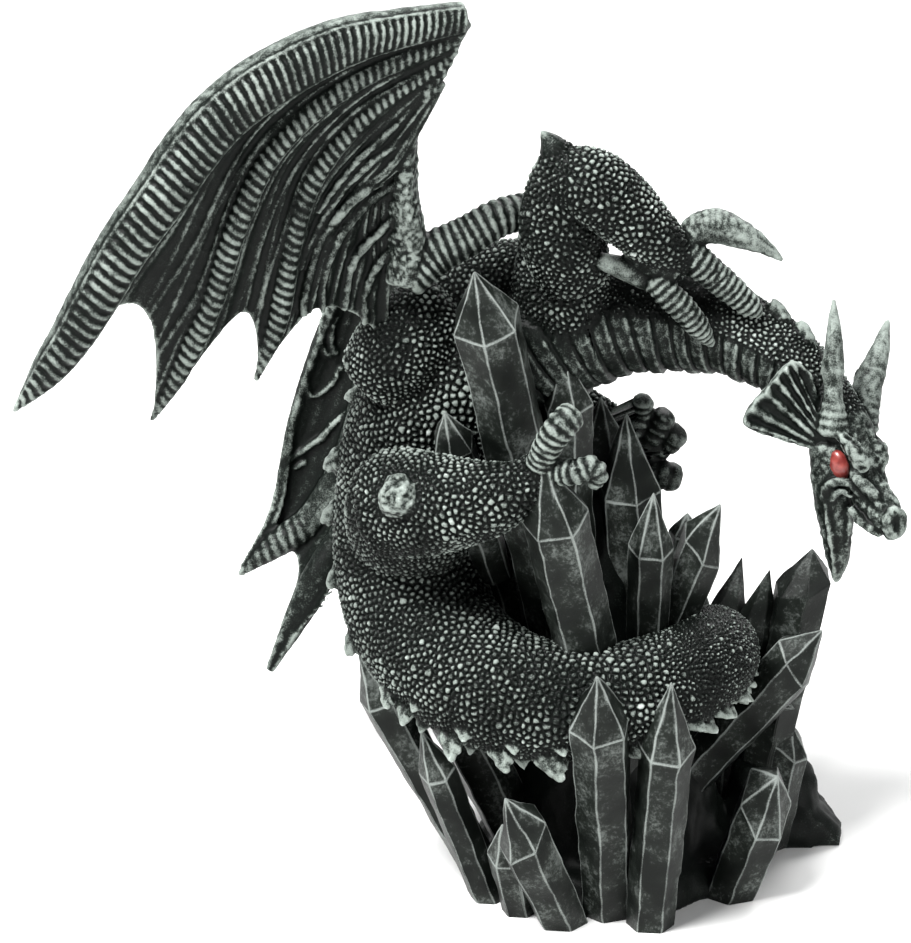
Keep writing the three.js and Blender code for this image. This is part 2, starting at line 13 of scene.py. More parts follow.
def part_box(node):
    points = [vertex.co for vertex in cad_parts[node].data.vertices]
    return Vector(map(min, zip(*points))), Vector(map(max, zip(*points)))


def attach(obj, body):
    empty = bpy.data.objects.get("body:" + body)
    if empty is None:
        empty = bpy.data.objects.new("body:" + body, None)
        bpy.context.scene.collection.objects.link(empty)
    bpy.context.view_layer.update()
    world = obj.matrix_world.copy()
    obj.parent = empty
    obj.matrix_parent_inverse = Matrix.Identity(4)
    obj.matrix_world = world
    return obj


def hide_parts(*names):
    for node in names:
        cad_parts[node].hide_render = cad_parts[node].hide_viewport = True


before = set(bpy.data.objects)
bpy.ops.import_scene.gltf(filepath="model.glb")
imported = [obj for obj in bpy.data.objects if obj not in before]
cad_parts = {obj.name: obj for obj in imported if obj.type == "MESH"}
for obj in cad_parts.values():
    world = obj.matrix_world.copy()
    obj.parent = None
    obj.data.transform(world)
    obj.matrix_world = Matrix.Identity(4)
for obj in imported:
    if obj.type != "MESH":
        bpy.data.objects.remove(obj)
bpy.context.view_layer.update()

MM = 0.001
DRAWN_TOP = 187.2  # the wrist of the raised wing, at the size the stations below are drawn
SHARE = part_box("wing_right")[1].z / MM / DRAWN_TOP

# Grain of the meshes, in millimetres
BODY_VOXEL = 0.31
RIGHT_WING_VOXEL = 0.36
LEFT_WING_VOXEL = 0.5
ROCK_VOXEL = 1.2
# The share of the faces that is kept once the fine forms are in
BODY_KEPT = 0.52
WING_KEPT = 0.56

# Pebbles, in millimetres
PEBBLE_HEIGHT = 0.66
PEBBLE_GAP = 0.155  # half the dark gap between two of them
PEBBLE_SHOULDER = 0.25  # how far in from the gap it is still rising, as a share of its size
LARGE_PEBBLES = 0.02  # the share of them that is large
LARGE_BY = 0.36

# Silver: how far around a place its own height is judged, and what height takes all of it, in millimetres
BRUSH_REACH = 0.8
DRAGON_FULL = 0.24
WING_FULL = 0.22
ROCK_REACH = 2.0
ROCK_FULL = 0.5
BRIGHT_PEBBLES = 0.04  # the share of the pebbles that takes more
BRUSH_RANGE = (-0.4, 1.2)

rng = np.random.default_rng(11)


# Numbers


def smoothstep(low, high, x):
    k = np.clip((x - low) / (high - low), 0, 1)
    return k * k * (3 - 2 * k)


def unit(vectors):
    return vectors / np.maximum(np.linalg.norm(vectors, axis=-1, keepdims=True), 1e-12)


def wander(places, size, seed):
    """Smooth noise from -1 to 1 that changes over about this many millimetres."""
    x = places / size + seed * 17.31
    cell = np.floor(x).astype(np.int64)
    f = x - cell
    f = f * f * (3 - 2 * f)
    total = np.zeros(len(places))
    for corner in np.ndindex(2, 2, 2):
        h = (cell + corner) @ np.array([73856093, 19349663, 83492791])
        h = ((h ^ (h >> 13)) * 1274126177) & 0x7FFFFFFF
        share = np.prod(np.where(corner, f, 1 - f), axis=1)
        total += share * ((h % 10007) / 5003.0 - 1)
    return total


def catmull(points, t):
    """Places and slopes on the uniform Catmull-Rom curve through the points, at shares t of it."""
    p = np.asarray(points, float)
    p = np.vstack([2 * p[0] - p[1], p, 2 * p[-1] - p[-2]])
    spans = len(p) - 3
    x = np.clip(t, 0, 1) * spans
    i = np.minimum(x.astype(int), spans - 1)
    w = (x - i)[:, None]
    a, b, c, d = p[i], p[i + 1], p[i + 2], p[i + 3]
    start, end = (c - a) / 2, (d - b) / 2
    square = 3 * (c - b) - 2 * start - end
    cube = 2 * (b - c) + start + end
    return b + start * w + square * w**2 + cube * w**3, start + 2 * square * w + 3 * cube * w**2


# Forms: each is a closed surface whose vertices also say what covers them

UP = (0.02, 0.1, 1.0)
TO_VIEWER = (0.02, -1.0, 0.1)
CAP_BULGE = 1 / 3  # of a limb's end, as a share of its radius
# How far a form is pebbled, the size of a pebble, how far it is brushed all over, how rough it is and how
# much silver it takes
COVER = ("pebble", "cell", "pale", "rough", "takes")
PLAIN = {"pebble": 0.0, "cell": 1.8, "pale": 0.0, "rough": 0.3, "takes": 1.0}


def form(points, faces, **cover):
    """A closed surface at the part's real size, with what covers each of its vertices."""
    made = {"points": np.asarray(points, float) * SHARE, "faces": np.asarray(faces, int)}
    for key in COVER:
        made[key] = np.broadcast_to(np.asarray(cover.get(key, PLAIN[key]), float), len(points)).copy()
    return made


def grid_faces(rows, columns, closed):
    """Four-sided faces between the rows of a grid, whose columns may close round."""
    i = np.arange(rows - 1)[:, None]
    j = np.arange(columns if closed else columns - 1)[None, :]
    k = (j + 1) % columns
    quad = np.stack([i * columns + j, i * columns + k, (i + 1) * columns + k, (i + 1) * columns + j], -1)
    return quad.reshape(-1, 4)


def fan_faces(start, onward, tip):
    """Three-sided faces from pairs of vertices to a tip, which is named twice."""
    tips = np.full(len(start), tip)
    return np.stack([start, onward, tips, tips], -1)


def capped_faces(rows, columns, low, high):
    """The faces of a grid that closes round, with a fan to the low vertex and one to the high vertex."""
    j = np.arange(columns)
    k = (j + 1) % columns
    over = (rows - 1) * columns
    fans = [fan_faces(k, j, low), fan_faces(over + j, over + k, high)]
    return np.vstack([grid_faces(rows, columns, True), *fans])


def strand(stations, backs, t):
    """Centre, direction, side, back and radius at shares t of a strand through stations (x, y, z, radius)."""
    stations = np.asarray(stations, float)
    centre, slope = catmull(stations[:, :3], t)
    radius = np.maximum(catmull(stations[:, 3:], t)[0][:, 0], 0.02)
    backs = np.asarray(backs, float)
    towards = catmull(backs, t)[0] if backs.ndim > 1 else np.broadcast_to(backs, centre.shape)
    along = unit(slope)
    side = unit(np.cross(along, towards))
    return centre, along, side, np.cross(side, along), radius


def tube(stations, backs=UP, around=28, step=0.6, relief=None, **cover):
    """A limb. Its relief says how far the skin stands out, from the length run, the share and the angle."""
    stations = np.asarray(stations, float)
    length = np.linalg.norm(np.diff(stations[:, :3], axis=0), axis=1).sum()
    rows = max(int(length / step), 5)
    t = np.linspace(0, 1, rows + 1)
    centre, along, side, back, radius = strand(stations, backs, t)
    run = np.concatenate([[0], np.cumsum(np.linalg.norm(np.diff(centre, axis=0), axis=1))])
    theta = (np.arange(around) / around * 2 + 1 / around - 1) * math.pi
    bulge = radius[[0, -1]] * CAP_BULGE
    caps = np.radians([80, 50, 25])
    order = [(0, -math.sin(a), math.cos(a)) for a in caps] + [(i, 0, 1) for i in range(rows + 1)]
    order += [(rows, math.sin(a), math.cos(a)) for a in caps[::-1]]
    index = np.array([o[0] for o in order])
    push = np.array([o[1] for o in order]) * bulge[(index > 0).astype(int)]
    shrink = np.array([o[2] for o in order])
    tt, rr = t[index][:, None], run[index][:, None]
    th = np.broadcast_to(theta[None, :], (len(order), around))
    outward = radius[index][:, None] + (relief(rr, tt, th) if relief else 0)
    outward = np.maximum(outward, 0.02) * shrink[:, None]
    rings = (centre[index] + along[index] * push[:, None])[:, None, :]
    rings = rings + side[index][:, None, :] * (np.sin(th) * outward)[..., None]
    rings = rings + back[index][:, None, :] * (np.cos(th) * outward)[..., None]
    poles = [centre[0] - along[0] * bulge[0], centre[-1] + along[-1] * bulge[1]]
    points = np.vstack([rings.reshape(-1, 3), poles])
    faces = capped_faces(len(order), around, len(points) - 2, len(points) - 1)

    def spread(value):
        value = value(rr, tt, th) if callable(value) else value
        value = np.broadcast_to(np.asarray(value, float), th.shape).reshape(-1)
        return np.concatenate([value, [value[0], value[-1]]])

    return form(points, faces, **{key: spread(value) for key, value in cover.items()})


def sheet(surface, across, along, thickness, direction, relief, **cover):
    """A closed skin. Its relief, from its two shares, is for the face towards the viewer."""
    a, b = np.meshgrid(np.linspace(0, 1, across + 1), np.linspace(0, 1, along + 1), indexing="ij")
    a, b = a.reshape(-1), b.reshape(-1)
    middle = surface(a, b)
    direction = np.asarray(direction, float)
    front = middle - direction * (thickness / 2 + relief(a, b))[:, None]
    rear = middle + direction * (thickness / 2)
    n = len(a)
    cells = grid_faces(across + 1, along + 1, False)
    number = np.arange(n).reshape(across + 1, along + 1)
    loop = np.concatenate([number[:, 0], number[-1, 1:], number[-2::-1, -1], number[0, -2:0:-1]])
    following = np.roll(loop, -1)
    rim = np.stack([loop, following, following + n, loop + n], -1)
    faces = np.vstack([cells[:, ::-1], cells + n, rim])
    return form(np.vstack([front, rear]), faces, **cover)


def spike(foot, direction, across, radius, height, lean, blunt=0.75):
    """A leaf-shaped scale on the back: wide along it, thin across it, notched, with a tip that leans over."""
    rows, around = 12, 20
    k = np.linspace(0, 1, rows)[:, None]
    theta = np.arange(around)[None, :] / around * 2 * math.pi
    notch = 1 + 0.14 * np.sin(k * 17 + radius * 9) * (k > 0.15)
    wide = radius * (1 - k) ** blunt * notch
    thin = radius * 0.55 * (1 - k) ** blunt * (1 + 0.16 * np.cos(6 * theta))
    place = foot + direction * (k * height)[..., None] + lean * (k**1.5 * height * 0.7)[..., None]
    place = place + unit(lean) * (np.cos(theta) * wide)[..., None]
    place = place + across * (np.sin(theta) * thin)[..., None]
    points = np.vstack([place.reshape(-1, 3), foot])
    j = np.arange(around)
    floor = fan_faces((j + 1) % around, j, len(points) - 1)
    return form(points, np.vstack([grid_faces(rows, around, True), floor]), pale=0.22, rough=0.8)


# Meshes


def bpy_mesh(name, points, polygons, **values):
    """A mesh with values at its vertices. A face names four of them, its last one twice if it has three."""
    mesh = bpy.data.meshes.new(name)
    polygons = np.asarray(polygons)
    three = polygons[:, 2] == polygons[:, 3]
    sizes = np.where(three, 3, 4)
    keep = np.ones(polygons.shape, bool)
    keep[three, 3] = False
    corners = polygons[keep]
    mesh.vertices.add(len(points))
    mesh.vertices.foreach_set("co", np.asarray(points, np.float32).reshape(-1))
    mesh.loops.add(len(corners))
    mesh.loops.foreach_set("vertex_index", corners.astype(np.int32))
    mesh.polygons.add(len(polygons))
    mesh.polygons.foreach_set("loop_start", np.concatenate([[0], np.cumsum(sizes)[:-1]]).astype(np.int32))
    mesh.update(calc_edges=True)
    mesh.validate()
    for key, value in values.items():
        mesh.attributes.new(key, "FLOAT", "POINT").data.foreach_set("value", value.astype(np.float32))
    return mesh


def placed(name, data):
    """A new object in the scene."""
    thing = bpy.data.objects.new(name, data)
    bpy.context.scene.collection.objects.link(thing)
    return thing


def modified(mesh, kind, settings, keys=()):
    """Vertices, corners of faces, edges and values at the vertices after a modifier. The mesh itself goes."""
    thing = placed("source", mesh)
    modifier = thing.modifiers.new(kind, kind)
    for key, value in settings.items():
        setattr(modifier, key, value)
    solid = thing.evaluated_get(bpy.context.evaluated_depsgraph_get()).to_mesh()
    points = np.zeros(len(solid.vertices) * 3)
    solid.vertices.foreach_get("co", points)
    corners = np.zeros(len(solid.loops), np.int32)
    solid.loops.foreach_get("vertex_index", corners)
    edges = np.zeros(len(solid.edges) * 2, np.int32)
    solid.edges.foreach_get("vertices", edges)
    values = {}
    for key in keys:
        values[key] = np.zeros(len(solid.vertices), np.float32)
        solid.attributes[key].data.foreach_get("value", values[key])
    thing.to_mesh_clear()
    bpy.data.objects.remove(thing)
    bpy.data.meshes.remove(mesh)
    return points.reshape(-1, 3), corners, edges.reshape(-1, 2), values


def joined(forms):
    """Several forms as one."""
    starts = np.cumsum([0] + [len(f["points"]) for f in forms[:-1]])
    made = {"points": np.vstack([f["points"] for f in forms])}
    made["faces"] = np.vstack([f["faces"] + start for f, start in zip(forms, starts)])
    for key in COVER:
        made[key] = np.concatenate([f[key] for f in forms])
    return made


def tree_of(places):
    """A search tree of the places, by their numbers."""
    tree = kdtree.KDTree(len(places))
    for i, place in enumerate(places.tolist()):
        tree.insert(place, i)
    tree.balance()
    return tree


def nearest(places, among):
    """For each place, the number of the nearest of the others."""
    tree = tree_of(among)
    return np.array([tree.find(place)[1] for place in places.tolist()])


class Skin:
    """One closed surface of even grain round all that is in a group of forms."""

    def __init__(self, forms, voxel, smoothing):
        source = joined(forms)
        mesh = bpy_mesh("source", source["points"], source["faces"])
        settings = {"mode": "VOXEL", "voxel_size": voxel}
        self.points, corners, self.edges, _ = modified(mesh, "REMESH", settings)
        self.faces = corners.reshape(-1, 4)
        self.voxel = voxel
        self.degree = np.bincount(self.edges.reshape(-1), minlength=len(self.points))
        under = nearest(self.points, source["points"])
        self.cover = {key: self.soften(source[key][under], 4) for key in COVER}
        self.cover["cell"] = source["cell"][under]
        self.points = self.soften(self.points, smoothing)

    def soften(self, values, times):
        """The values, each drawn towards the mean of its neighbours, this many times."""
        a, b = self.edges.T
        flat = values.reshape(len(values), -1).copy()
        for _ in range(times):
            for column in range(flat.shape[1]):
                v = flat[:, column]
                total = np.bincount(a, v[b], len(v)) + np.bincount(b, v[a], len(v))
                flat[:, column] = (v + total / self.degree) / 2
        return flat.reshape(values.shape)

    def normals(self):
        """The outward direction at each vertex."""
        p = self.points[self.faces]
        area = np.cross(p[:, 2] - p[:, 0], p[:, 3] - p[:, 1])
        total = np.zeros_like(self.points)
        for axis in range(3):
            total[:, axis] = np.bincount(self.faces.reshape(-1), np.repeat(area[:, axis], 4), len(total))
        return unit(total)

    def thin_out(self, kept, values):
        """Joins faces where the surface is plain, until this share is left. Returns the values on it."""
        mesh = bpy_mesh("source", self.points, self.faces, **values)
        settings = {"ratio": kept, "use_collapse_triangulate": True}
        self.points, corners, _, left = modified(mesh, "DECIMATE", settings, values)
        self.faces = corners.reshape(-1, 3)[:, [0, 1, 2, 2]]
        return left

    def push(self, distance):
        """Moves each vertex outward."""
        self.points = self.points + self.normals() * distance[:, None]

    def stand(self, reach):
        """How far each vertex stands above the surface smoothed over this many millimetres."""
        times = max(int(2 * (reach / self.voxel) ** 2), 2)
        return ((self.points - self.soften(self.points, times)) * self.normals()).sum(1)


def pebbles(skin):
    """Pushes out round scales where the skin is pebbled.

    Returns how far each vertex is up its own scale, and that scale's tone.
    """
    weight, cell = skin.cover["pebble"], skin.cover["cell"]
    chosen = np.nonzero(weight > 0.05)[0]
    places = skin.points[chosen]
    size = cell[chosen]
    shuffled = rng.permutation(len(chosen))
    keys = np.floor(places[shuffled] / size[shuffled][:, None] + 100).astype(np.int64)
    keys = keys @ np.array([1, 4096, 4096 * 4096]) + np.round(size[shuffled] * 100).astype(np.int64) * 4096**3
    seeds = places[shuffled[np.unique(keys, return_index=True)[1]]]
    for _ in range(3):
        owner = nearest(places, seeds)
        count = np.bincount(owner, minlength=len(seeds))
        total = np.stack([np.bincount(owner, places[:, axis], len(seeds)) for axis in range(3)], 1)
        enough = count > 3
        seeds = total[enough] / count[enough][:, None]
    large = rng.random(len(seeds)) < LARGE_PEBBLES
    swell = rng.uniform(-0.12, 0.1, len(seeds)) + np.where(large, LARGE_BY, 0)
    tree = tree_of(seeds)
    found = np.array([[hit[1:] for hit in tree.find_n(place, 5)] for place in places.tolist()])
    number = found[:, :, 0].astype(int)
    reach = found[:, :, 1] - swell[number]
    order = np.argsort(reach, axis=1)[:, :2]
    first, second = np.take_along_axis(reach, order, 1).T
    own = np.take_along_axis(number, order[:, :1], 1)[:, 0]
    border = (second - first) / 2
    rise = np.clip((border - PEBBLE_GAP) / (PEBBLE_SHOULDER * size), 0, 1)
    dome = np.sqrt(1 - (1 - rise) ** 2)
    up = np.zeros(len(skin.points))
    tone = np.zeros(len(skin.points))
    up[chosen] = dome
    tone[chosen] = rng.random(len(seeds))[own]
    lift = (up - 0.55) * PEBBLE_HEIGHT * weight * (1 + 0.5 * up * (tone - 0.5))
    skin.push(np.where(weight > 0.05, lift * cell / 1.4, 0))
    return up * weight, tone


def roughen(skin):
    """Small lumps and pits, where the surface isn't pebbled."""
    lumps = wander(skin.points, 2.4, 5) * 0.13 + wander(skin.points, 1.1, 9) * 0.13
    lumps = lumps + wander(skin.points, 0.6, 6) * 0.1
    skin.push(lumps * skin.cover["rough"] * (1 - skin.cover["pebble"] * 0.8))


def pieces_of(names, skin, labels, attributes):
    """One closed mesh for each name, from the faces that bear its number. Cuts inside the form are closed."""
    made = []
    normals = skin.normals()
    face_label = np.round(labels[skin.faces].mean(1)).astype(int)
    for number, name in enumerate(names):
        faces = skin.faces[face_label == number]
        starts, ends = faces.reshape(-1), np.roll(faces, -1, 1).reshape(-1)
        twin = set(zip(ends.tolist(), starts.tolist()))
        following = {}
        for a, b in zip(starts.tolist(), ends.tolist()):
            if (a, b) not in twin:
                following.setdefault(b, []).append(a)
        points = [skin.points]
        caps = []
        extra = len(skin.points)
        sources = []
        while following:
            start = next(iter(following))
            loop = [start]
            while True:
                onward = following[loop[-1]]
                step = onward.pop()
                if not onward:
                    del following[loop[-1]]
                if step == start:
                    break
                loop.append(step)
            ring = np.array(loop)
            points.append(skin.points[ring].mean(0)[None, :])
            sources.append(loop[0])
            caps.append(fan_faces(ring, np.roll(ring, -1), extra))
            extra += 1
        faces = np.vstack([faces, *caps])
        used, compact = np.unique(faces, return_inverse=True)
        everything = np.vstack(points)
        origin = np.concatenate([np.arange(len(skin.points)), np.array(sources, int)])
        faces = compact.reshape(-1, 4)
        values = {key: value[origin[used]] for key, value in attributes.items()}
        made.append(piece(name, everything[used], faces, values, normals[origin[used]]))
    return made


def piece(name, points, faces, attributes, normals=None):
    """A visible piece, smooth-shaded, from points in millimetres."""
    mesh = bpy_mesh(name, points * MM, faces, **attributes)
    mesh.polygons.foreach_set("use_smooth", np.ones(len(mesh.polygons), bool))
    if normals is not None:
        mesh.normals_split_custom_set_from_vertices(normals)
    return placed(name, mesh)


# The dragon's body

SPINE = [
    (32, -24, 103, 6), (26.5, -19, 110, 6.6), (19.5, -15, 114.8, 7.6), (11.5, -11, 117.8, 8.7),
    (3.5, -8, 118.7, 9.8), (-7, -6, 118.7, 10.8), (-17.5, -4, 116.8, 12.9), (-28.5, -2, 112, 14.8),
    (-40, 0, 105, 16), (-47, 1, 93, 16.2), (-50, 1, 80, 15.5), (-51, -2, 68, 15), (-48.5, -9, 57.5, 14.6),
    (-42, -19, 52, 13.6), (-32.5, -27, 49, 12.6), (-22, -31, 48, 11.5), (-11.5, -32, 49, 10.5),
    (-2.5, -29.5, 50.5, 10.2), (5, -24, 51.5, 9.8), (9.5, -15, 51, 9.2), (10.5, -4, 48.5, 8.4),
    (9, 8, 44, 7.5), (3, 19, 38, 6.6), (-6, 27.5, 31.5, 5.7), (-17, 31.5, 25.5, 4.7),
    (-28, 28, 20.5, 3.8), (-36, 19, 18.5, 2.8), (-40, 9, 21, 1.6), (-41, 3, 25, 0.4),
]
BACKS = [
    (0.5, -0.2, 0.85), (0.3, -0.1, 0.95), (-0.1, 0, 1), (-0.85, 0.1, 0.5), (-1, 0, -0.1),
    (-0.3, -0.6, -0.7), (0, -0.6, -0.8), (0.6, -0.3, -0.7), (0.5, 0.6, -0.6), (-0.3, 0.8, -0.3),
    (-0.8, 0.4, 0),
]
BELLY_END = 0.27  # the share of the spine where the belly's bands run out
BAND = 3.9  # the length of a band


def belly(t, theta):
    """How far a place is on the belly, from 0 to 1. The bands reach higher up the chest than the throat."""
    edge = 1.25 - 0.3 * smoothstep(0.1, 0.22, t)
    return smoothstep(edge, edge + 0.22, np.abs(theta)) * (1 - smoothstep(BELLY_END - 0.03, BELLY_END, t))


def belly_bands(run, t, theta):
    """Rounded plates with narrow grooves between them, which lean back towards the sides."""
    across = run / BAND - 0.55 * np.cos(theta)
    f = across - np.floor(across)
    plate = np.sqrt(np.clip(1 - np.abs(2 * f - 1) ** 3.5, 0, 1))
    lip = 0.35 * np.exp(-(((f - 0.16) / 0.07) ** 2))
    sag = 0.3 * smoothstep(1.2, 1.7, np.abs(theta)) * np.sin(np.floor(across) * 2.4)
    return belly(t, theta) * ((1.6 + sag) * plate - 1.5 + lip)


def neck_body_tail():
    """The neck, body and tail in one. Pebbles are small at its ends, and the neck is rubbed pale."""

    def cell(run, t, theta):
        return 1.25 + 0.4 * smoothstep(0.1, 0.25, t) * (1 - smoothstep(0.6, 0.75, t)) + 0 * theta

    def pale(run, t, theta):
        return 0.03 * belly(t, theta) + 0.22 * smoothstep(0.2, 0.1, t) * (1 - belly(t, theta))

    return tube(
        SPINE, BACKS, around=72, step=0.4, relief=belly_bands, cell=cell, pale=pale,
        pebble=lambda run, t, theta: 1 - belly(t, theta),
        rough=lambda run, t, theta: 0.3 + 0.35 * belly(t, theta),
    )


# Rows of scales: start and end as shares of the spine, how many, radius, height, how blunt, whether flanked
CREST = (
    (0.035, 0.14, 6, 3.4, 3.2, 0.5, False), (0.29, 0.455, 7, 3.3, 3.6, 0.45, False),
    (0.465, 0.7, 11, 3.7, 5.0, 0.62, True), (0.72, 0.93, 11, 1.6, 2.8, 0.62, True),
)
FLANKING = (-0.3, 0.24)  # the angles at which the small scales stand, to either side of the ridge


def crest():
    """Leaf-shaped scales down the ridge of the back."""
    scales = []
    for start, end, count, radius, height, blunt, flanked in CREST:
        centre, along, side, back, thick = strand(SPINE, BACKS, np.linspace(start, end, count))
        for i in range(count):
            size = rng.uniform(0.75, 1.2)
            lean = along[i] * 0.9
            foot = centre[i] + back[i] * (thick[i] - 0.9)
            scales.append(spike(foot, back[i], side[i], radius * size, height * size, lean, blunt))
            for turn in FLANKING if flanked else ():
                size = rng.uniform(0.7, 1.1)
                upward = unit(back[i] + side[i] * turn * 1.2)
                low = centre[i] + (back[i] * math.cos(turn) + side[i] * math.sin(turn)) * (thick[i] - 0.8)
                low = low + along[i] * radius * rng.uniform(0.5, 1.1)
                scales.append(spike(low, upward, side[i], radius * 0.7 * size, height * 0.6 * size, lean))
    return scales


# Limbs

SHOULDER_BLADE = [(-44, -6, 121, 8), (-51, -8, 115, 9.5), (-57, -6, 107, 8)]
SHOULDER = [(-22, 0, 125, 8), (-33, 1, 124, 8), (-43, -2, 119, 8)]
WITHERS = [(-19, -4, 116, 12), (-21, -8, 128, 10), (-24, -8, 138, 5.5)]
UPPER_ARM = [
    (-19, -14, 131, 7.5), (-21.5, -18, 140, 8), (-22, -21, 148, 6.6), (-22, -23, 154.5, 4.8),
    (-23.5, -23.5, 158.5, 2.6), (-25.5, -24, 161.5, 0.4),
]
FOREARM = [
    (-21.5, -24, 154, 5), (-16, -25, 151.5, 6.8), (-10.5, -25, 147, 6.7), (-5, -24, 141.5, 5.6),
    (0, -22, 137, 4.2), (3, -21, 135.5, 3.4),
]
PALM = [(-8, -21.5, 138.5, 3), (-3.5, -21.5, 136, 4.4), (0.5, -21.5, 134.5, 4)]
FLAP = [(-16, -20, 135.4, 1.2), (-11.5, -21.5, 134.6, 2), (-7.5, -21.5, 133, 2.4), (-3.5, -21.5, 131, 2.2)]
CLAW = [
    (2.3, -20, 138, 2.8), (4.3, -20, 141, 3.1), (8, -20, 141.8, 3.4), (12, -20, 140.4, 2.8),
    (16.4, -20, 138.2, 1.8), (20.8, -20, 135, 0.3),
]
FINGERS = [
    [(1, -22, 138, 3), (4.5, -22, 135.3, 3), (8, -21, 132, 2.9), (11.6, -20.5, 128.8, 2.6),
     (14.6, -20, 126, 2.1), (16.6, -19, 123.9, 1)],
    [(-3.7, -23.5, 132.4, 2.5), (-1.2, -24, 129.5, 2.6), (1.8, -23.5, 126.3, 2.5), (4.8, -22, 122.2, 2.2),
     (7.5, -19.5, 118, 0.8)],
]
FAR_ARM = [
    (-24, 9, 113, 7.5), (-29, 20, 108, 6.5), (-27, 25, 99, 5.5), (-18, 20, 93, 4.4), (-11, 12, 92, 3.2),
]
SHIN = [
    (-53, -20, 85.5, 11), (-46, -27, 88, 9.8), (-38, -31, 90, 8), (-33, -33, 92, 6.6),
    (-28.5, -34, 94.5, 5), (-24, -34, 98, 4),
]
KNEE = [
    (-52.2, -29, 89.5, 4.4), (-52.5, -33.8, 92.2, 3.9), (-52.5, -35.2, 93, 2.9),
    (-52.5, -36.2, 93.6, 1.4),
]
THIGH = [(-50, -4, 74, 13), (-51, -13, 81, 12.5), (-52, -19, 86, 11)]
TOES = [
    [(-26, -36, 99, 2.6), (-23.5, -38, 105, 2.8), (-21.5, -38, 108, 2.9), (-19.5, -36, 109.5, 2.6)],
    [(-23, -36, 98, 2.8), (-19, -38, 98.5, 2.4), (-16, -38, 99.5, 2.1), (-14.5, -38, 98, 1.8),
     (-15.5, -37, 95.5, 1.2)],
]
FAR_LEG = [
    (-50, 8, 76, 12), (-46, 24, 80, 10), (-36, 31, 76, 8), (-22, 26, 76, 6), (-10, 18, 80, 4.6),
    (-4, 14, 84, 3.6),
]
FAR_TOES = [
    [(-6, 13, 88, 2.2), (-4, 13, 93, 2.3), (-4, 11, 96, 2)],
    [(-4, 14, 85, 2.4), (-1, 14, 89, 2.8), (0.8, 13, 92.2, 2.4)],
    [(-3, 15, 83, 2.6), (1.5, 15, 86, 2.8), (3.3, 14, 88.2, 2.6)],
    [(-5, 14, 80, 2.8), (0.5, 14, 79, 3), (3.2, 15, 78, 2.8)],
]
TOE_RING = 1.4  # the pitch of the rings on fingers and toes


def rings(pitch, depth, until=1.0):
    """Rounded rings round a finger, up to the share where the claw starts, which is grooved lengthwise."""

    def relief(run, t, theta):
        ridge = np.abs(np.sin(math.pi * run / pitch + 0.4 * np.sin(theta))) ** 0.7
        claw = smoothstep(until - 0.06, until + 0.02, t)
        groove = 0.3 * np.abs(np.sin(3.5 * theta + 4 * t)) ** 0.5
        return (ridge - 0.7) * depth * (1 - claw) + (groove - 0.2) * claw

    return relief


def knuckle(run, t, theta):
    """A shallow swelling and sinking round a limb."""
    return 0.35 * np.sin(3 * theta + 1) * np.sin(5 * t)


def limbs():
    """Arms and legs. Their skin is pebbled, the elbow's tip excepted, and fingers and toes are ringed."""

    def scaly(cell, until=None):
        def pebble(run, t, theta):
            return (1 - smoothstep(until, until + 0.14, t) if until else 1) + 0 * theta + 0 * t

        return {"pebble": pebble, "cell": cell, "around": 40}

    ringed = {"around": 28, "step": 0.25, "pale": 0.1, "rough": 0.9}
    return [
        tube(SHOULDER_BLADE, **scaly(1.45)), tube(SHOULDER, **scaly(1.45)),
        tube(WITHERS, TO_VIEWER, **scaly(1.5)), tube(UPPER_ARM, TO_VIEWER, **scaly(1.55, 0.7)),
        tube(FOREARM, **scaly(1.5)), tube(FAR_ARM, **scaly(1.6)),
        tube(PALM, rough=1.0), tube(FLAP, rough=0.5, pale=0.18),
        tube(CLAW, relief=rings(0.9, 0.28, 0.5), around=40, step=0.2, pale=0.22, rough=0.9),
        *[tube(f, relief=rings(TOE_RING, 0.75), **ringed) for f in FINGERS],
        tube(THIGH, **scaly(1.65)), tube(SHIN, **scaly(1.6)),
        tube(KNEE, relief=knuckle, pale=0.2, rough=1.8, around=40),
        tube(FAR_LEG, **scaly(1.7)),
        *[tube(f, relief=rings(TOE_RING, 0.7), **ringed) for f in TOES],
        *[tube(f, around=24, step=0.3, relief=rings(2.2, 0.5), rough=0.8) for f in FAR_TOES],
    ]


# The head

SKULL = [(29.5, -23, 106, 6), (32.5, -24, 102.5, 6), (35.2, -26, 98, 5.4), (37, -28.5, 94.5, 4.6)]
SNOUT = [
    (35.9, -27, 95.5, 4.8), (37.7, -31, 92, 3.9), (39.8, -34, 89.8, 3.5), (41.3, -36, 87.6, 2.9),
    (41.7, -36.6, 84.6, 1.1),
]
LOWER_JAW = [
    (30.9, -26, 99.5, 4.6), (31.2, -28, 91.5, 4.1), (31.8, -29, 85.6, 3.5), (32.1, -30, 80.6, 2.7),
    (32.3, -30, 76.4, 1.8), (32.1, -30, 73, 0.6),
]
HORNS = [
    [(30.8, -29, 103.5, 3), (30.6, -28.6, 107, 2.5), (30.5, -28, 110, 1.8), (30.5, -27, 112.8, 1.8),
     (30.5, -26, 115.6, 2.2), (30.7, -25, 118.6, 1.8), (30.7, -23, 123.4, 1.2), (30.7, -21, 127.5, 0.3)],
    [(36.9, -20, 101, 3.4), (37.3, -19, 104.4, 3.2), (38.1, -17, 107.8, 2.9), (39.2, -15, 110.6, 2.6),
     (40.8, -13, 114.3, 1.9), (41.7, -11, 117, 1.2), (42.6, -9, 119.6, 0.3)],
]
BROWS = [
    [(31.4, -31, 104, 0.8), (33.5, -32.8, 102, 1.5), (35.3, -33.8, 99.8, 1.6), (36.4, -34, 97.4, 0.9)],
    [(37.4, -25, 101.8, 1), (38.9, -27.5, 99.8, 1.8), (39.7, -29, 97.8, 1.8), (39.2, -30, 95.8, 0.9)],
]
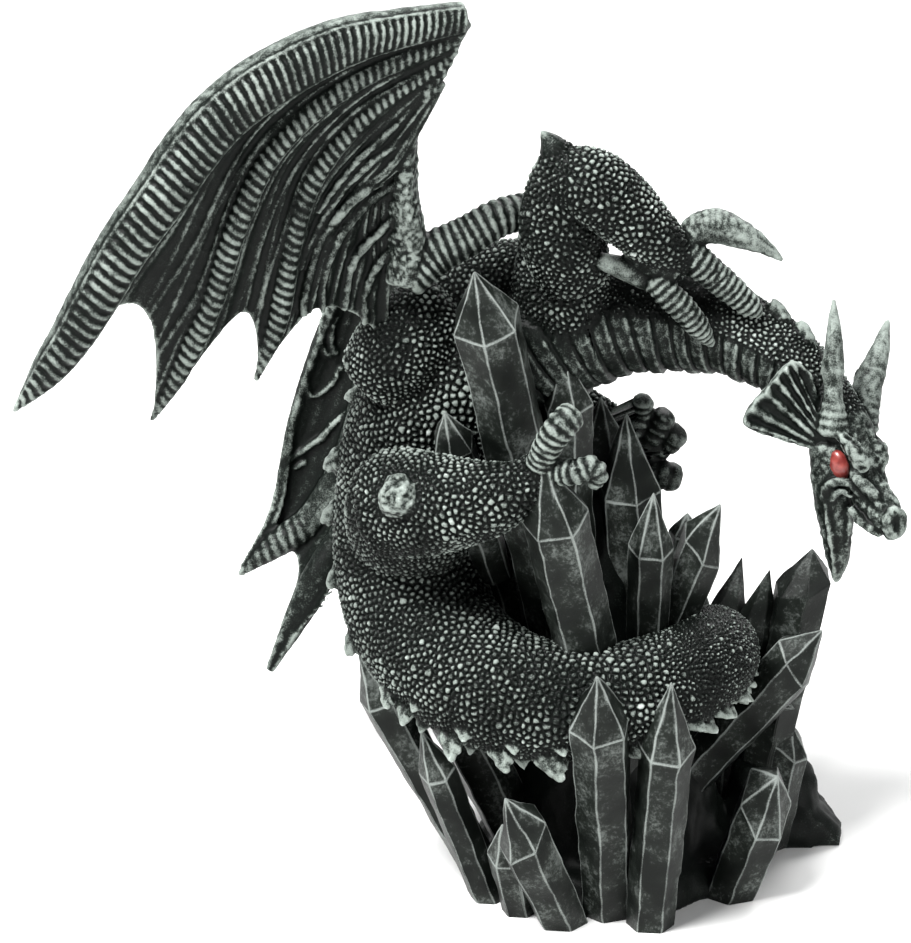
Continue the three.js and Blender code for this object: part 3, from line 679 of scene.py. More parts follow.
CHEEKS = [
    [(29, -30.6, 88.5, 0.5), (28.9, -31, 92, 0.7), (30.5, -32.3, 94.3, 0.8), (33.6, -33.6, 94.6, 0.8),
     (35.6, -34.4, 92.2, 0.6)],
    [(30.8, -31.6, 88, 0.4), (30.8, -32, 91, 0.5), (32.2, -32.8, 92.6, 0.5), (34.4, -33.8, 91.8, 0.4)],
    [(34.4, -34, 96, 0.7), (36.6, -35, 94.4, 1.3), (38.4, -36, 92.4, 1.2), (39.6, -37, 90.4, 0.6)],
]
JAW_EDGES = [
    [(29.4, -31, 91, 0.6), (30, -32.3, 85.9, 0.6), (30.9, -32.6, 80.7, 0.5), (31.5, -31.8, 75.6, 0.4)],
    [(33.6, -31.5, 89, 0.5), (34, -32, 85, 0.5), (33.6, -32, 80.5, 0.4)],
]
LIPS = [[(34, -34, 89.6, 0.8), (36.8, -36, 87, 1), (39.5, -37.2, 85.4, 0.8)]]
NOSTRIL = (42, -38, 88.2)
NOSTRIL_ROUND = (1.5, 2.1)
NOSTRIL_FACING = (0.35, -0.93, 0.1)
TEETH = [[(36, -33.5, 89, 1.3), (35.2, -34.4, 86.8, 0.6)], [(38.8, -35, 88, 1.1), (38.3, -36, 85.6, 0.5)]]
FRILLS = [
    ((31.4, -27.5, 98.2), [(26.3, -26.5, 114.5), (22.5, -27, 117), (18.3, -27.5, 112.8),
                           (13.3, -29, 105.4), (21.5, -29, 101.4)]),
    ((37.5, -19, 100.5), [(36, -15, 110), (37, -13, 111), (39, -6, 108), (40, 2, 103.5), (39, -4, 100.5)]),
]
FRILL_RIBS = 6
FRILL_THICKNESS = 1.2
EYES = {
    "eye_right": ((31.6, -30.3, 97.1), (-0.7, -0.7, -0.1)),
    "eye_left": ((38.3, -22.8, 98.4), (0.75, 0.63, 0.15)),
}
EYE_RADIUS = 2.3
GEM_DEPTH = 0.7
GEM_WIDE = 1.1
GEM_TALL = 1.42


def frill(root, rim):
    """A fan of skin on ribs, which run out to the rim between its top corner and its far corner."""
    root = np.array(root, float)
    top, far = 1 / (len(rim) - 1), 3 / (len(rim) - 1)

    def fan(a, b):
        return root + (catmull(rim, a)[0] - root) * (0.08 + 0.92 * b)[:, None]

    def ribs(a, b):
        k = (a - top) / (far - top)
        ridge = np.abs(np.cos(k * (FRILL_RIBS - 1) * math.pi)) ** 3 * (k > -0.1) * (k < 1.1)
        return (ridge * 1.2 - 0.3) * smoothstep(0.12, 0.4, b) + 0.6 * smoothstep(0.9, 0.96, b)

    edge = catmull(rim, np.array([0, 0.7]))[0] - root
    direction = unit(np.cross(edge[0], edge[1]))
    direction = direction if direction[1] > 0 else -direction
    return sheet(fan, 150, 50, FRILL_THICKNESS, direction, ribs, pale=0.1, rough=0.8)


def ringlet(centre, facing, rounds, thick):
    """A ring of flesh round a nostril."""
    facing = unit(np.array(facing, float))
    side = unit(np.cross(facing, (0, 0, 1)))
    up = np.cross(side, facing)
    turn = np.linspace(0, 2 * math.pi, 25)
    places = np.array(centre) + np.outer(np.cos(turn) * rounds[0], side)
    places = places + np.outer(np.sin(turn) * rounds[1], up)
    stations = np.column_stack([places, np.full(len(turn), thick)])
    return tube(stations, facing, around=16, step=0.3, pale=0.06, rough=1.0)


def horn(stations):
    """Streaked lengthwise, wrinkled at the root and jointed half way up."""

    def relief(run, t, theta):
        streaks = 0.2 * np.abs(np.sin(4.5 * theta + 0.8 * np.sin(run))) ** 0.6
        wrinkles = 0.15 * np.sin(run * 2 * math.pi / 1.6 + np.sin(theta)) * (1 - smoothstep(0.18, 0.3, t))
        joint = 0.22 * np.exp(-(((t - 0.52) / 0.02) ** 2))
        return streaks + wrinkles + joint - 0.1

    return tube(stations, TO_VIEWER, around=36, step=0.3, relief=relief, pale=0.24, rough=0.5)


def head():
    """Skull, jaws, horns, brows, folds of the face, teeth, nostril and frills."""
    crusty = {"rough": 1.4, "pale": 0.18}
    fold = {"step": 0.25, "around": 16, "pale": 0.0, "rough": 1.2}
    return [
        tube(SKULL, **crusty), tube(SNOUT, **crusty), tube(LOWER_JAW, TO_VIEWER, rough=1.1, pale=0.12),
        *[horn(h) for h in HORNS],
        *[tube(b, TO_VIEWER, around=24, step=0.3, relief=knuckle, pale=0.12, rough=1.8) for b in BROWS],
        *[tube(line, TO_VIEWER, **fold) for line in (*CHEEKS, *JAW_EDGES, *LIPS)],
        *[tube(tooth, **fold) for tooth in TEETH],
        ringlet(NOSTRIL, NOSTRIL_FACING, NOSTRIL_ROUND, 1.15),
        *[frill(*f) for f in FRILLS],
    ]


# Wings

# "reach" and "notch" are for the panels of skin between the bones: the share of each bone that a panel runs
# along, and how deep its edge is cut. "rings" say how their pitch grows along a bone, how deep they are and
# where they start. "pleats" are lines of x, z and radius on the skin. "folded" is the share of FOLD_HEIGHT.
RIGHT_WING = {
    "bones": [
        [(-40.5, -28, 184.5, 3), (-52.5, -31, 183, 3.8), (-63.5, -34, 180.8, 4.8),
         (-75.5, -37, 175.4, 5.4), (-84.5, -39, 169, 5.5), (-91, -40, 161.5, 5.5), (-97, -41, 153, 5.3),
         (-103, -41, 144.5, 5.1), (-108.5, -40, 135, 4.8), (-113.7, -38, 125.8, 4.2),
         (-119, -36, 118, 3.2), (-125.6, -34, 109.4, 0.4)],
        [(-42, -27, 180, 1.5), (-61, -31, 172.5, 1.8), (-75, -34, 161, 2), (-82, -35, 147.5, 2.1),
         (-87.5, -33, 131, 2.1), (-94, -30, 116.5, 1.9), (-100, -28, 105.5, 0.4)],
        [(-43.5, -26, 176, 1.4), (-58, -28, 166, 1.6), (-68, -29, 154, 1.8), (-72.5, -28, 140.5, 1.8),
         (-75.5, -26, 125, 1.9), (-80, -25, 112.6, 0.5)],
        [(-44, -25, 171, 0.7), (-53, -24, 155, 0.7), (-60, -24, 149, 0.7), (-66, -24, 140.5, 0.7),
         (-70, -22, 125.5, 0.8)],
        [(-45, -26, 174, 0.8), (-52, -23, 160, 0.8), (-55, -20, 147, 0.8), (-55, -16, 132, 0.8),
         (-56, -12, 117, 0.8)],
    ],
    "reach": [(0.8, 1), (1, 1), (1, 1), (1, 1)],
    "notch": [0.16, 0.26, 0, 0.04],
    "arm": [
        [(-24, -8, 142, 3.4), (-33, -13, 141.5, 3.6), (-40, -15, 138, 3.9), (-46, -16, 135, 4.3),
         (-51, -17, 130.5, 4)],
        [(-51, -17, 130.5, 4), (-50.8, -18, 138.5, 3.6), (-51.5, -20, 147, 3), (-51.4, -21, 155, 2.6),
         (-50, -23, 163.5, 2), (-46.5, -25, 170.5, 1.8), (-43.5, -26, 177.5, 1.8), (-41, -28, 184, 2.2)],
    ],
    "rings": [(1.4, 2.5, 0.8), (1.5, 2.1, 0.7), (1.5, 2.0, 0.7), None, None],
    "pleats": [
        [(-55, 151, 0.5), (-58.6, 150.1, 0.9), (-63.7, 145.4, 0.9), (-67.8, 139, 0.9),
         (-70.3, 129.1, 0.9), (-70.7, 124.9, 0.6)],
        [(-51.4, 151.4, 0.8), (-57.5, 147.8, 1.2), (-63.4, 141.4, 1.1), (-66.8, 132.6, 0.8),
         (-67.1, 124.6, 0.5)],
        [(-49.6, 147.6, 1), (-55.8, 140.8, 0.9), (-61.3, 134.3, 0.9), (-63.1, 124, 0.6)],
        [(-49.6, 140.2, 1), (-55.9, 134.1, 0.9), (-58.9, 127.6, 0.8), (-59.3, 120.3, 0.5)],
        [(-50.4, 160.6, 0.6), (-57.4, 156.1, 0.8), (-63.2, 150.1, 0.8), (-68.8, 140.8, 0.6),
         (-71, 134.7, 0.4)],
        [(-52.7, 163.4, 0.6), (-60.6, 156, 0.8), (-67.6, 146.3, 0.5)],
    ],
    "folded": 1.0,
}
LEFT_WING = {
    "bones": [
        [(-53, 46, 124, 1.6), (-62, 54, 112, 1.6), (-69.5, 58, 96, 1.5), (-76.5, 60, 75, 1.2),
         (-80.5, 58, 55, 1.2), (-87.5, 55, 42.5, 0.6)],
        [(-52, 46, 122, 2.8), (-54.4, 53, 107, 3.4), (-59, 58, 88, 3.6), (-63.8, 58, 68.5, 3.6),
         (-72.2, 57, 53.6, 3.4), (-80, 56, 48, 2.9), (-88.5, 54, 41.5, 0.5)],
        [(-52, 45, 120, 2), (-54.5, 50, 100, 2.2), (-58, 51, 75.5, 2.2), (-64.5, 49, 56, 2.6),
         (-72, 46, 42, 3.4), (-81.6, 42, 24, 0.8)],
        [(-51, 44, 118, 1.8), (-51, 43, 98, 1.8), (-53.5, 40, 75, 1.8), (-58.5, 37, 56, 1.6),
         (-66, 34, 45, 0.5)],
        [(-49, 43, 116, 1.5), (-46, 36, 106, 1.5), (-45, 26, 95, 1.5), (-47, 17, 82, 1.5),
         (-50, 12, 66, 1.5)],
    ],
    "reach": [(1, 1), (0.8, 1), (1, 1), (1, 1)],
    "notch": [0, 0.1, 0.03, 0.08],
    "arm": [
        [(-27, 8, 122, 3.4), (-33, 20, 117, 4), (-39, 31, 111, 4.4), (-45, 38, 108, 4)],
        [(-45, 38, 108, 4), (-48, 41, 114, 3.6), (-50, 44, 119, 3), (-52, 46, 124, 2.6)],
    ],
    "rings": [None, (1.9, 2.3, 0.5, 0.72), None, None, None],
    "pleats": [
        [(-67.8, 103.5, 0.5), (-69.6, 99.5, 0.6), (-70.4, 95.5, 0.6), (-70, 91.8, 0.6), (-68.4, 89.6, 0.5)],
        [(-67, 99.1, 0.5), (-68, 95.6, 0.6), (-68, 92, 0.6), (-67.2, 90.2, 0.5)],
        [(-73, 87.5, 0.4), (-73.4, 84, 0.45), (-73.2, 81, 0.45), (-71.4, 80.4, 0.45), (-67.8, 83.6, 0.5),
         (-66.4, 86.9, 0.5)],
        [(-77.6, 65.5, 0.4), (-75.4, 67.3, 0.6), (-72.8, 69.2, 0.7), (-70.2, 71.1, 0.8),
         (-67.6, 74.4, 0.7), (-63.6, 78.2, 0.6), (-59.6, 82, 0.5)],
        [(-76.6, 63.8, 0.4), (-74.3, 65, 0.5)],
    ],
    "folded": 0.3,
}
MEMBRANE = 1.8  # the thickness of the skin
HOLLOW = 2.2  # how far a panel of it bows back between two bones
HOLLOW_FULL_AT = 0.5  # the share of the bones from which it does so in full
NOTCH_ROUNDING = 0.8


def ring_count(run, first, last, length):
    """How many rings lie in a run whose pitch grows evenly from the first to the last."""
    growth = (last - first) / length
    return np.log(1 + growth * run / first) / growth


def main_bone(length, first, last, depth):
    """Crescent rings between a smooth dark edge, with its pale rail, and a thin rail on the inside."""

    def relief(run, t, theta):
        turns = ring_count(run, first, last, length) + 0.28 * np.sin(2 * theta + 0.6)
        ridge = (0.5 + 0.5 * np.cos(2 * math.pi * turns)) ** 0.55
        band = smoothstep(-1.12, -1.0, theta) * (1 - smoothstep(0.5, 0.6, theta))
        rails = 0.6 * np.exp(-(((theta - 0.68) / 0.07) ** 2)) + 0.6 * np.exp(-(((theta + 1.22) / 0.07) ** 2))
        edge = smoothstep(0.74, 0.84, theta) * (1 - smoothstep(2.0, 2.3, theta))
        return (ridge - 0.8) * depth * band + 0.4 * rails - 0.2 * edge

    return relief


def rope_bone(length, first, last, depth, start=0.0):
    """Rings that lean like the turns of a rope, with a thin smooth ridge beside them."""

    def relief(run, t, theta):
        turns = ring_count(run, first, last, length) + 0.3 * np.sin(theta)
        ridge = np.abs(np.cos(math.pi * turns)) ** 0.6
        band = smoothstep(-1.3, -1.0, theta) * (1 - smoothstep(1.3, 1.6, theta))
        band = band * smoothstep(start - 0.05, start, t)
        return (ridge - 0.75) * depth * band + 0.3 * np.exp(-(((theta + 1.45) / 0.12) ** 2))

    return relief


def outer_edge(run, t, theta):
    """The smooth edge of the wing is rubbed pale."""
    return 0.05 + 0.2 * smoothstep(0.78, 0.9, theta) * (1 - smoothstep(2.0, 2.4, theta))


def elbow(run, t, theta):
    """The mast is rubbed pale at its elbow, less towards the wrist."""
    return 0.22 - 0.16 * smoothstep(0.25, 0.6, t) + 0 * theta


# Across a panel of skin: where each fine ridge lies, how wide it is and how high
FOLDS = (
    (0.1, 0.022, 0.9), (0.19, 0.028, 0.7), (0.3, 0.03, 1.0), (0.43, 0.026, 0.6),
    (0.55, 0.034, 1.0), (0.67, 0.026, 0.7), (0.78, 0.03, 1.0), (0.89, 0.024, 0.8),
)
FOLD_HEIGHT = 0.65


def wing(shape):
    """Skin between the bones of a wing, with its folds, pleats, bones and arm."""
    lines = shape["bones"]
    panels = len(lines) - 1

    def surface(a, b):
        panel = np.minimum(np.floor(a * panels + 1e-6).astype(int), panels - 1)
        k = np.clip(a * panels - panel, 0, 1)
        bow = np.maximum(np.sin(math.pi * k), 0)
        share = b * (1 - np.array(shape["notch"])[panel] * bow**NOTCH_ROUNDING)
        reach = np.array(shape["reach"])[panel]
        start, end = np.zeros((len(a), 3)), np.zeros((len(a), 3))
        for i in range(panels):
            on = panel == i
            start[on] = catmull(np.array(lines[i])[:, :3], (share * reach[:, 0])[on])[0]
            end[on] = catmull(np.array(lines[i + 1])[:, :3], (share * reach[:, 1])[on])[0]
        place = start + (end - start) * k[:, None]
        place[:, 1] += HOLLOW * bow * np.minimum(b / HOLLOW_FULL_AT, 1)
        return place

    def folds(a, b):
        """Fine ridges that follow the bones and wander a little, more of them where the skin is wide."""
        panel = np.floor(a * panels)
        k = a * panels % 1
        height = np.zeros(len(k))
        for i, (where, width, high) in enumerate(FOLDS):
            drift = 0.035 * np.sin(b * (5 + i) + 2 * i + panel * 1.7)
            starts = smoothstep(0.02 + 0.06 * (i % 3), 0.12 + 0.06 * (i % 3), b)
            height += high * np.exp(-(((k - where - drift) / width) ** 2)) * starts
        return shape["folded"] * FOLD_HEIGHT * height - 0.3 * smoothstep(0.1, 0.3, b)

    forms = [sheet(surface, panels * 80, 300, MEMBRANE, (0, 1, 0), folds, rough=0.4, pale=0.05)]
    a, b = np.meshgrid(np.linspace(0, 1, 161), np.linspace(0, 1, 161))
    skin = surface(a.reshape(-1), b.reshape(-1))
    for line in shape["pleats"]:
        stations = []
        for x, z, radius in line:
            under = skin[np.argmin((skin[:, 0] - x) ** 2 + (skin[:, 2] - z) ** 2)]
            stations.append((x, under[1] - MEMBRANE / 2 - radius * 0.3, z, radius))
        forms.append(tube(stations, TO_VIEWER, around=24, step=0.3, pale=0.04, rough=0.8))
    for number, (stations, ring) in enumerate(zip(lines, shape["rings"])):
        points = np.array(stations)[:, :3]
        length = np.linalg.norm(np.diff(points, axis=0), axis=1).sum()
        relief = (main_bone if number == 0 else rope_bone)(length, *ring) if ring else knuckle
        main = number == 0 and ring is not None
        forms.append(tube(
            stations, TO_VIEWER, around=96 if main else 40, step=0.22, relief=relief, rough=0.5,
            pale=outer_edge if main else 0.06 if ring else 0.0,
        ))
    humerus, *mast = shape["arm"]
    forms.append(tube(humerus, TO_VIEWER, around=40, step=0.22, relief=rings(1.7, 0.8), pale=0.12, rough=0.5))
    for stations in mast:
        forms.append(tube(stations, TO_VIEWER, around=40, step=0.3, relief=knuckle, pale=elbow, rough=1.6))
    return forms


# Crystals and rock

FOOT_TAPER = 0.86  # a crystal's radius at its foot, as a share of that at its shoulder
# The tip, the foot, the radius, and what else a crystal differs in
CRYSTALS = [
    ((-61, -12, 50), (-30.8, -15, -6), 5, {}),
    ((-48.5, -24, 39), (-33.5, -19, -4), 4, dict(shoulder=2.4)),
    ((-32.5, -32, 22.5), (-28, -24, -4), 4.2, {}),
    ((-32, -42, 32.5), (-19, -29, -3), 5.6, dict(slant=(-0.5, 0.3), spin=15)),
    ((-14.5, -46, 60), (-11, -25, -2), 6.2, dict(spin=-12)),
    ((0, -42, 57), (-3, -30.5, -4), 5.6, dict(shoulder=2.6, spin=25)),
    ((22.5, -24, 29), (13, -17, -3), 6, dict(shoulder=1.2, slant=(0.4, 0.9), spin=-5)),
    ((-38, -27, 135), (-18, -8, 40), 6.8, dict(shoulder=1.6, spin=-10)),
    ((-20.5, -14, 116), (-17, -4, 30), 5.2, dict(shoulder=2.3, spin=15)),
    ((-44, -24, 106), (-34, -8, 66), 4.4, dict(spin=-10)),
    ((-25.5, -38, 101), (-10, -20, 30), 6.8, dict(spin=25)),
    ((-8, -4, 99), (-4, -4, 30), 6.6, dict(shoulder=2.4, spin=10)),
    ((-12.5, 5, 99), (-10, 2, 30), 6, {}),
    ((-3, -17, 87), (-4, -14, 30), 4.6, dict(shoulder=2.6, spin=28)),
    ((10.5, -12, 82.5), (-2, -9, 46), 5.1, dict(slant=(0.5, 0.3), spin=5)),
    ((5, 2, 75.5), (3, 0, 40), 3.6, dict(shoulder=1.2)),
    ((17, 12, 61.8), (9, 4, 30), 4.6, dict(shoulder=2.8, rub=0.15)),
    ((22.5, 8, 60.8), (15, 3, 30), 4.6, dict(shoulder=2.8, rub=0.15)),
    ((30.5, 6, 66), (17.5, 4, -3), 5.8, dict(shoulder=1.3, slant=(-0.4, 0.3), spin=5, rub=0.4)),
    ((32.5, -4, 52.2), (6, -4, 20), 5.9, dict(shoulder=1.5, slant=(0.3, 0.2), spin=35)),
    ((27.6, 0, 33), (19, 2, 36), 2.6, dict(shoulder=1.6)),
    ((27.5, 4, 28), (23, 2, 2), 4.8, dict(shoulder=0.8, slant=(0.5, 0.5))),
    ((14, 14, 46), (10, 10, 0), 7, {}),
    ((-36, 10, 94), (-20, 6, 20), 8, {}),
    ((-40, 4, 78), (-27, 4, 30), 6.5, {}),
    ((-46, -6, 44), (-26, -6, 2), 6.4, {}),
    ((-30, 24, 88), (-14, 10, 4), 7, {}),
    ((-46, 6, 50), (-26, 6, 4), 7, {}),
    ((-12, 32, 62), (-8, 16, 0), 6.5, {}),
    ((10, 38, 48), (4, 20, -4), 6, {}),
    ((28, 30, 34), (18, 22, -4), 6, {}),
    ((-34, 44, 36), (-22, 28, -4), 5.4, {}),
]
GROUND = [
    (-38, 4), (-37, -16), (-26, -24), (-16, -29), (0, -28), (9, -21), (17, -17), (20, -11), (24, 0),
    (29, 4), (38.6, 5), (38, 20), (33, 34), (14, 40), (-12, 42), (-32, 32),
]
GROUND_THICKNESS = 6
GROUND_SLOPE = 4 / 35  # how far its side draws in, as a share of its reach
# Up the rock: its height, as a share of its thickness, and its reach, as a share of its outline
GROUND_ROWS = (
    (0, 1), (0.15, 1), (0.5, 1 - GROUND_SLOPE / 2), (1, 1 - GROUND_SLOPE), (1.4, 0.6), (1.6, 0.2),
)
CRAGS = [
    [(27, 11, 3, 9), (28.5, 11, 9, 6.5), (29, 11, 15, 4), (29, 11, 19, 1.5)],
    [(20, 0, 3, 7), (20, 1, 10, 5), (19, 2, 20, 4)],
]
HEART = [(-9, 2, 3, 24), (-10, 2, 20, 20), (-12, 2, 42, 17), (-13, 2, 60, 13), (-12, 2, 78, 7)]
FLAT_FOOT = 0.8  # the height below which the rock is left even, to stand on
CHAMFER = 0.22  # how far a worn edge is set in
RUB = 0.5  # how far the silver runs in from an edge
CREASE = 24  # degrees between two faces of a crystal from which the edge is sharp


def crystal(tip, foot, radius, shoulder=1.9, slant=(0, 0.3), spin=20, rub=1.0):
    """Vertices, faces and how near an edge each vertex is, of a six-sided crystal with worn edges."""
    tip, foot = np.array(tip, float) * SHARE, np.array(foot, float) * SHARE
    radius = radius * SHARE
    axis = unit(tip - foot)
    length = np.linalg.norm(tip - foot)
    front = unit(np.array([0, -1, 0]) + axis * axis[1])
    right = np.cross(axis, front)
    angle = math.radians(spin) + np.arange(6) * math.pi / 3
    x, z = radius * np.sin(angle), radius * np.cos(angle)
    rim = np.outer(x, right) + np.outer(z, front)
    drop = radius * shoulder + slant[0] * x + slant[1] * z
    top = foot + axis * (length - drop)[:, None] + rim
    low = foot + rim * FOOT_TAPER
    flat = np.clip(-low[:, 2] / (top[:, 2] - low[:, 2]), 0, 1)
    low = low + (top - low) * flat[:, None]
    across = np.array([0, CHAMFER, RUB, radius / 3, radius * 2 / 3, radius - RUB, radius - CHAMFER]) / radius
    corner = (np.arange(6)[:, None] + across[None, :]).reshape(-1)
    here, k = np.floor(corner).astype(int), (corner % 1)[:, None]
    after = (here + 1) % 6
    low_ring, top_ring = low[here] * (1 - k) + low[after] * k, top[here] * (1 - k) + top[after] * k
    column_side = np.tile(np.minimum(across, 1 - across) * radius, 6)
    worn = np.tile(np.where(across == 0, CHAMFER * 0.8, 0.0), 6)[:, None]
    height = np.linalg.norm(top_ring - low_ring, axis=1).mean()
    rows = max(int(height / 1.6), 3)
    body = np.append(np.linspace(0, 1 - RUB / height, rows), 1 - CHAMFER / height)
    slope = np.linalg.norm(tip - top, axis=1).mean()
    point = np.concatenate([[CHAMFER / slope], np.linspace(RUB / slope, 1, 8)[:-1], [0.96]])
    layers, near = [], []
    for k in body:
        ring = low_ring + (top_ring - low_ring) * k
        layers.append(ring + unit(ring.mean(0) - ring) * worn)
        near.append(np.minimum(column_side, (1 - k) * height))
    ring = top_ring + unit(foot + axis * (length / 2) - top_ring) * CHAMFER * 0.5
    layers.append(ring + unit(ring.mean(0) - ring) * worn)
    near.append(np.zeros(len(ring)))
    for k in point:
        ring = top_ring + (tip - top_ring) * k
        layers.append(ring + unit(ring.mean(0) - ring) * worn * (1 - k))
        near.append(np.minimum(column_side * (1 - k), k * slope))
    count = len(across) * 6
    points = np.vstack([*layers, tip - axis * CHAMFER, low.mean(0)])
    faces = capped_faces(len(layers), count, len(points) - 1, len(points) - 2)
    edge = rub * (1 - smoothstep(CHAMFER * 0.3, RUB, np.concatenate([*near, [0, RUB]])))
    coarse, close = ([wander(points, size, 31 + n) for n in range(3)] for size in (4.0, 1.2))
    wobble = np.stack(coarse, 1) * 0.3 + np.stack(close, 1) * 0.1
    wobble[points[:, 2] < 0.3] = 0
    return points + wobble, faces, edge


def crystal_piece(name, shapes):
    """All the crystals in one mesh, each a closed surface of its own."""
    parts = [crystal(tip, foot, radius, **more) for tip, foot, radius, more in shapes]
    starts = np.cumsum([0] + [len(p[0]) for p in parts[:-1]])
    points = np.vstack([p[0] for p in parts])
    faces = np.vstack([p[1] + start for p, start in zip(parts, starts)])
    made = piece(name, points, faces, {"edge": np.concatenate([p[2] for p in parts])})
    made.data.set_sharp_from_angle(angle=math.radians(CREASE))
    return made


def rock_forms():
    """The rock that the crystals grow from: its foot, its heart and its crags."""
    outline = np.array(GROUND, float)
    middle = outline.mean(0)
    ring = catmull(np.vstack([outline, outline[:1]]), np.linspace(0, 1, 120, endpoint=False))[0]
    layers = []
    for height, share in GROUND_ROWS:
        layers.append(np.column_stack([
            middle + (ring - middle) * share, np.full(len(ring), height * GROUND_THICKNESS),
        ]))
    points = np.vstack([*layers, [*middle, GROUND_THICKNESS * GROUND_ROWS[-1][0]], [*middle, 0]])
    faces = capped_faces(len(layers), len(ring), len(points) - 1, len(points) - 2)
    rocks = [tube(line, TO_VIEWER, around=40, step=1.0, takes=0.3) for line in (HEART, *CRAGS)]
    return [form(points, faces, takes=0.3), *rocks]


# Materials


def nodes_of(name):
    """A new material, its node tree and its surface."""
    material = bpy.data.materials.new(name)
    material.use_nodes = True
    tree = material.node_tree
    return material, tree, tree.nodes["Principled BSDF"]


class Shader:
    """Short ways to add and link the nodes of a material."""

    def __init__(self, name):
        self.material, self.tree, self.surface = nodes_of(name)
        self.where = self.tree.nodes.new("ShaderNodeTexCoord").outputs["Object"]

    def link(self, start, end):
        """Links a socket to another, or sets the other to a constant."""
        if isinstance(start, bpy.types.NodeSocket):
            self.tree.links.new(start, end)
        else:
            end.default_value = start

    def math(self, kind, a, b):
        node = self.tree.nodes.new("ShaderNodeMath")
        node.operation = kind
        self.link(a, node.inputs[0])
        self.link(b, node.inputs[1])
        return node.outputs[0]

    def noise(self, size, detail=3.0, roughness=0.55):
        """Cloudy noise whose features are about this many millimetres across."""
        node = self.tree.nodes.new("ShaderNodeTexNoise")
        self.link(self.where, node.inputs["Vector"])
        node.inputs["Scale"].default_value = 1 / (size * MM)
        node.inputs["Detail"].default_value = detail
        node.inputs["Roughness"].default_value = roughness
        return node.outputs["Fac"]

    def stirred(self, value, noise, amount):
        """The value, raised and lowered by a noise."""
        return self.math("ADD", value, self.math("MULTIPLY", self.math("SUBTRACT", noise, 0.5), amount))

    def ramp(self, value, low, high):
        """A smooth step from 0 at the low value to 1 at the high one."""
        node = self.tree.nodes.new("ShaderNodeMapRange")
        node.interpolation_type = "SMOOTHSTEP"
        self.link(value, node.inputs["Value"])
        self.link(low, node.inputs["From Min"])
        self.link(high, node.inputs["From Max"])
        return node.outputs["Result"]

    def mix(self, share, a, b):
        node = self.tree.nodes.new("ShaderNodeMix")
        node.data_type = "RGBA"
        self.link(share, node.inputs["Factor"])
        self.link(a, node.inputs["A"])
        self.link(b, node.inputs["B"])
        return node.outputs["Result"]

    def attribute(self, name):
        node = self.tree.nodes.new("ShaderNodeAttribute")
        node.attribute_name = name
        return node.outputs["Fac"]

    def bump(self, height, distance, strength):
        node = self.tree.nodes.new("ShaderNodeBump")
        self.link(height, node.inputs["Height"])
        node.inputs["Distance"].default_value = distance * MM
        node.inputs["Strength"].default_value = strength
        self.link(node.outputs["Normal"], self.surface.inputs["Normal"])


RESIN_DARK = (0.0028, 0.0040, 0.0033, 1)
RESIN_MID = (0.0125, 0.0165, 0.0138, 1)
SILVER = (0.25, 0.285, 0.26, 1)
BRIGHT = (0.52, 0.57, 0.54, 1)
CRYSTAL_DARK = (0.0042, 0.0055, 0.0046, 1)
CRYSTAL_MID = (0.0145, 0.018, 0.015, 1)
GEM_DARK = (0.13, 0.014, 0.012, 1)
GEM_RED = (0.26, 0.045, 0.036, 1)
FLOOR_WHITE = (0.86, 0.86, 0.85, 1)
SKY_WHITE = (0.95, 0.97, 1.0, 1)


def resin():
    """Near-black resin, with silver rubbed over what stands up."""
    s = Shader("resin")
    brush = s.attribute("brush")
    fine = s.noise(0.3)
    broad = s.noise(4.0)
    worn = s.stirred(s.stirred(brush, fine, 0.8), broad, 0.35)
    film = s.ramp(worn, 0.0, 0.45)
    silver = s.ramp(worn, 0.2, 0.8)
    bright = s.ramp(worn, 0.8, 1.25)
    colour = s.mix(silver, s.mix(film, RESIN_DARK, RESIN_MID), SILVER)
    s.link(s.mix(bright, colour, BRIGHT), s.surface.inputs["Base Color"])
    s.link(s.math("ADD", s.math("MULTIPLY", silver, 0.1), 0.48), s.surface.inputs["Roughness"])
    s.surface.inputs["Specular IOR Level"].default_value = 0.12
    s.bump(fine, 0.06, 0.7)
    return s.material


def crystal_resin():
    """Dark crystal faces, stippled and clouded with thin silver, and pale worn edges."""
    s = Shader("crystal")
    edge = s.attribute("edge")
    fine = s.noise(0.28, 4.0, 0.7)
    speck = s.noise(0.9, 5.0, 0.75)
    broad = s.noise(7.0, 2.0)
    silver = s.ramp(s.stirred(s.stirred(edge, fine, 1.3), broad, 1.5), 0.3, 1.25)
    stipple = s.ramp(s.stirred(speck, broad, 0.8), 0.5, 0.82)
    film = s.math("MAXIMUM", s.math("MULTIPLY", stipple, 0.2), s.math("MULTIPLY", silver, 0.46))
    dull = s.mix(s.ramp(broad, 0.3, 0.7), CRYSTAL_DARK, CRYSTAL_MID)
    s.link(s.mix(film, dull, BRIGHT), s.surface.inputs["Base Color"])
    s.link(s.math("ADD", s.math("MULTIPLY", film, 0.2), 0.4), s.surface.inputs["Roughness"])
    s.surface.inputs["Specular IOR Level"].default_value = 0.14
    s.bump(speck, 0.1, 0.6)
    return s.material


def eye_gem():
    """Clouded red glass."""
    s = Shader("gem")
    cloud = s.ramp(s.noise(2.0, 2.0), 0.35, 0.65)
    s.link(s.mix(cloud, GEM_DARK, GEM_RED), s.surface.inputs["Base Color"])
    s.surface.inputs["Roughness"].default_value = 0.32
    s.surface.inputs["Coat Weight"].default_value = 0.2
    return s.material


# The dressed pieces

RESIN, CRYSTAL, GEM = resin(), crystal_resin(), eye_gem()


def dress(thing, material, node):
    """Gives a piece its material, hangs it under the root and hides the solid that it stands in for."""
    thing.data.materials.append(material)
    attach(thing, "root")
    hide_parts(node)


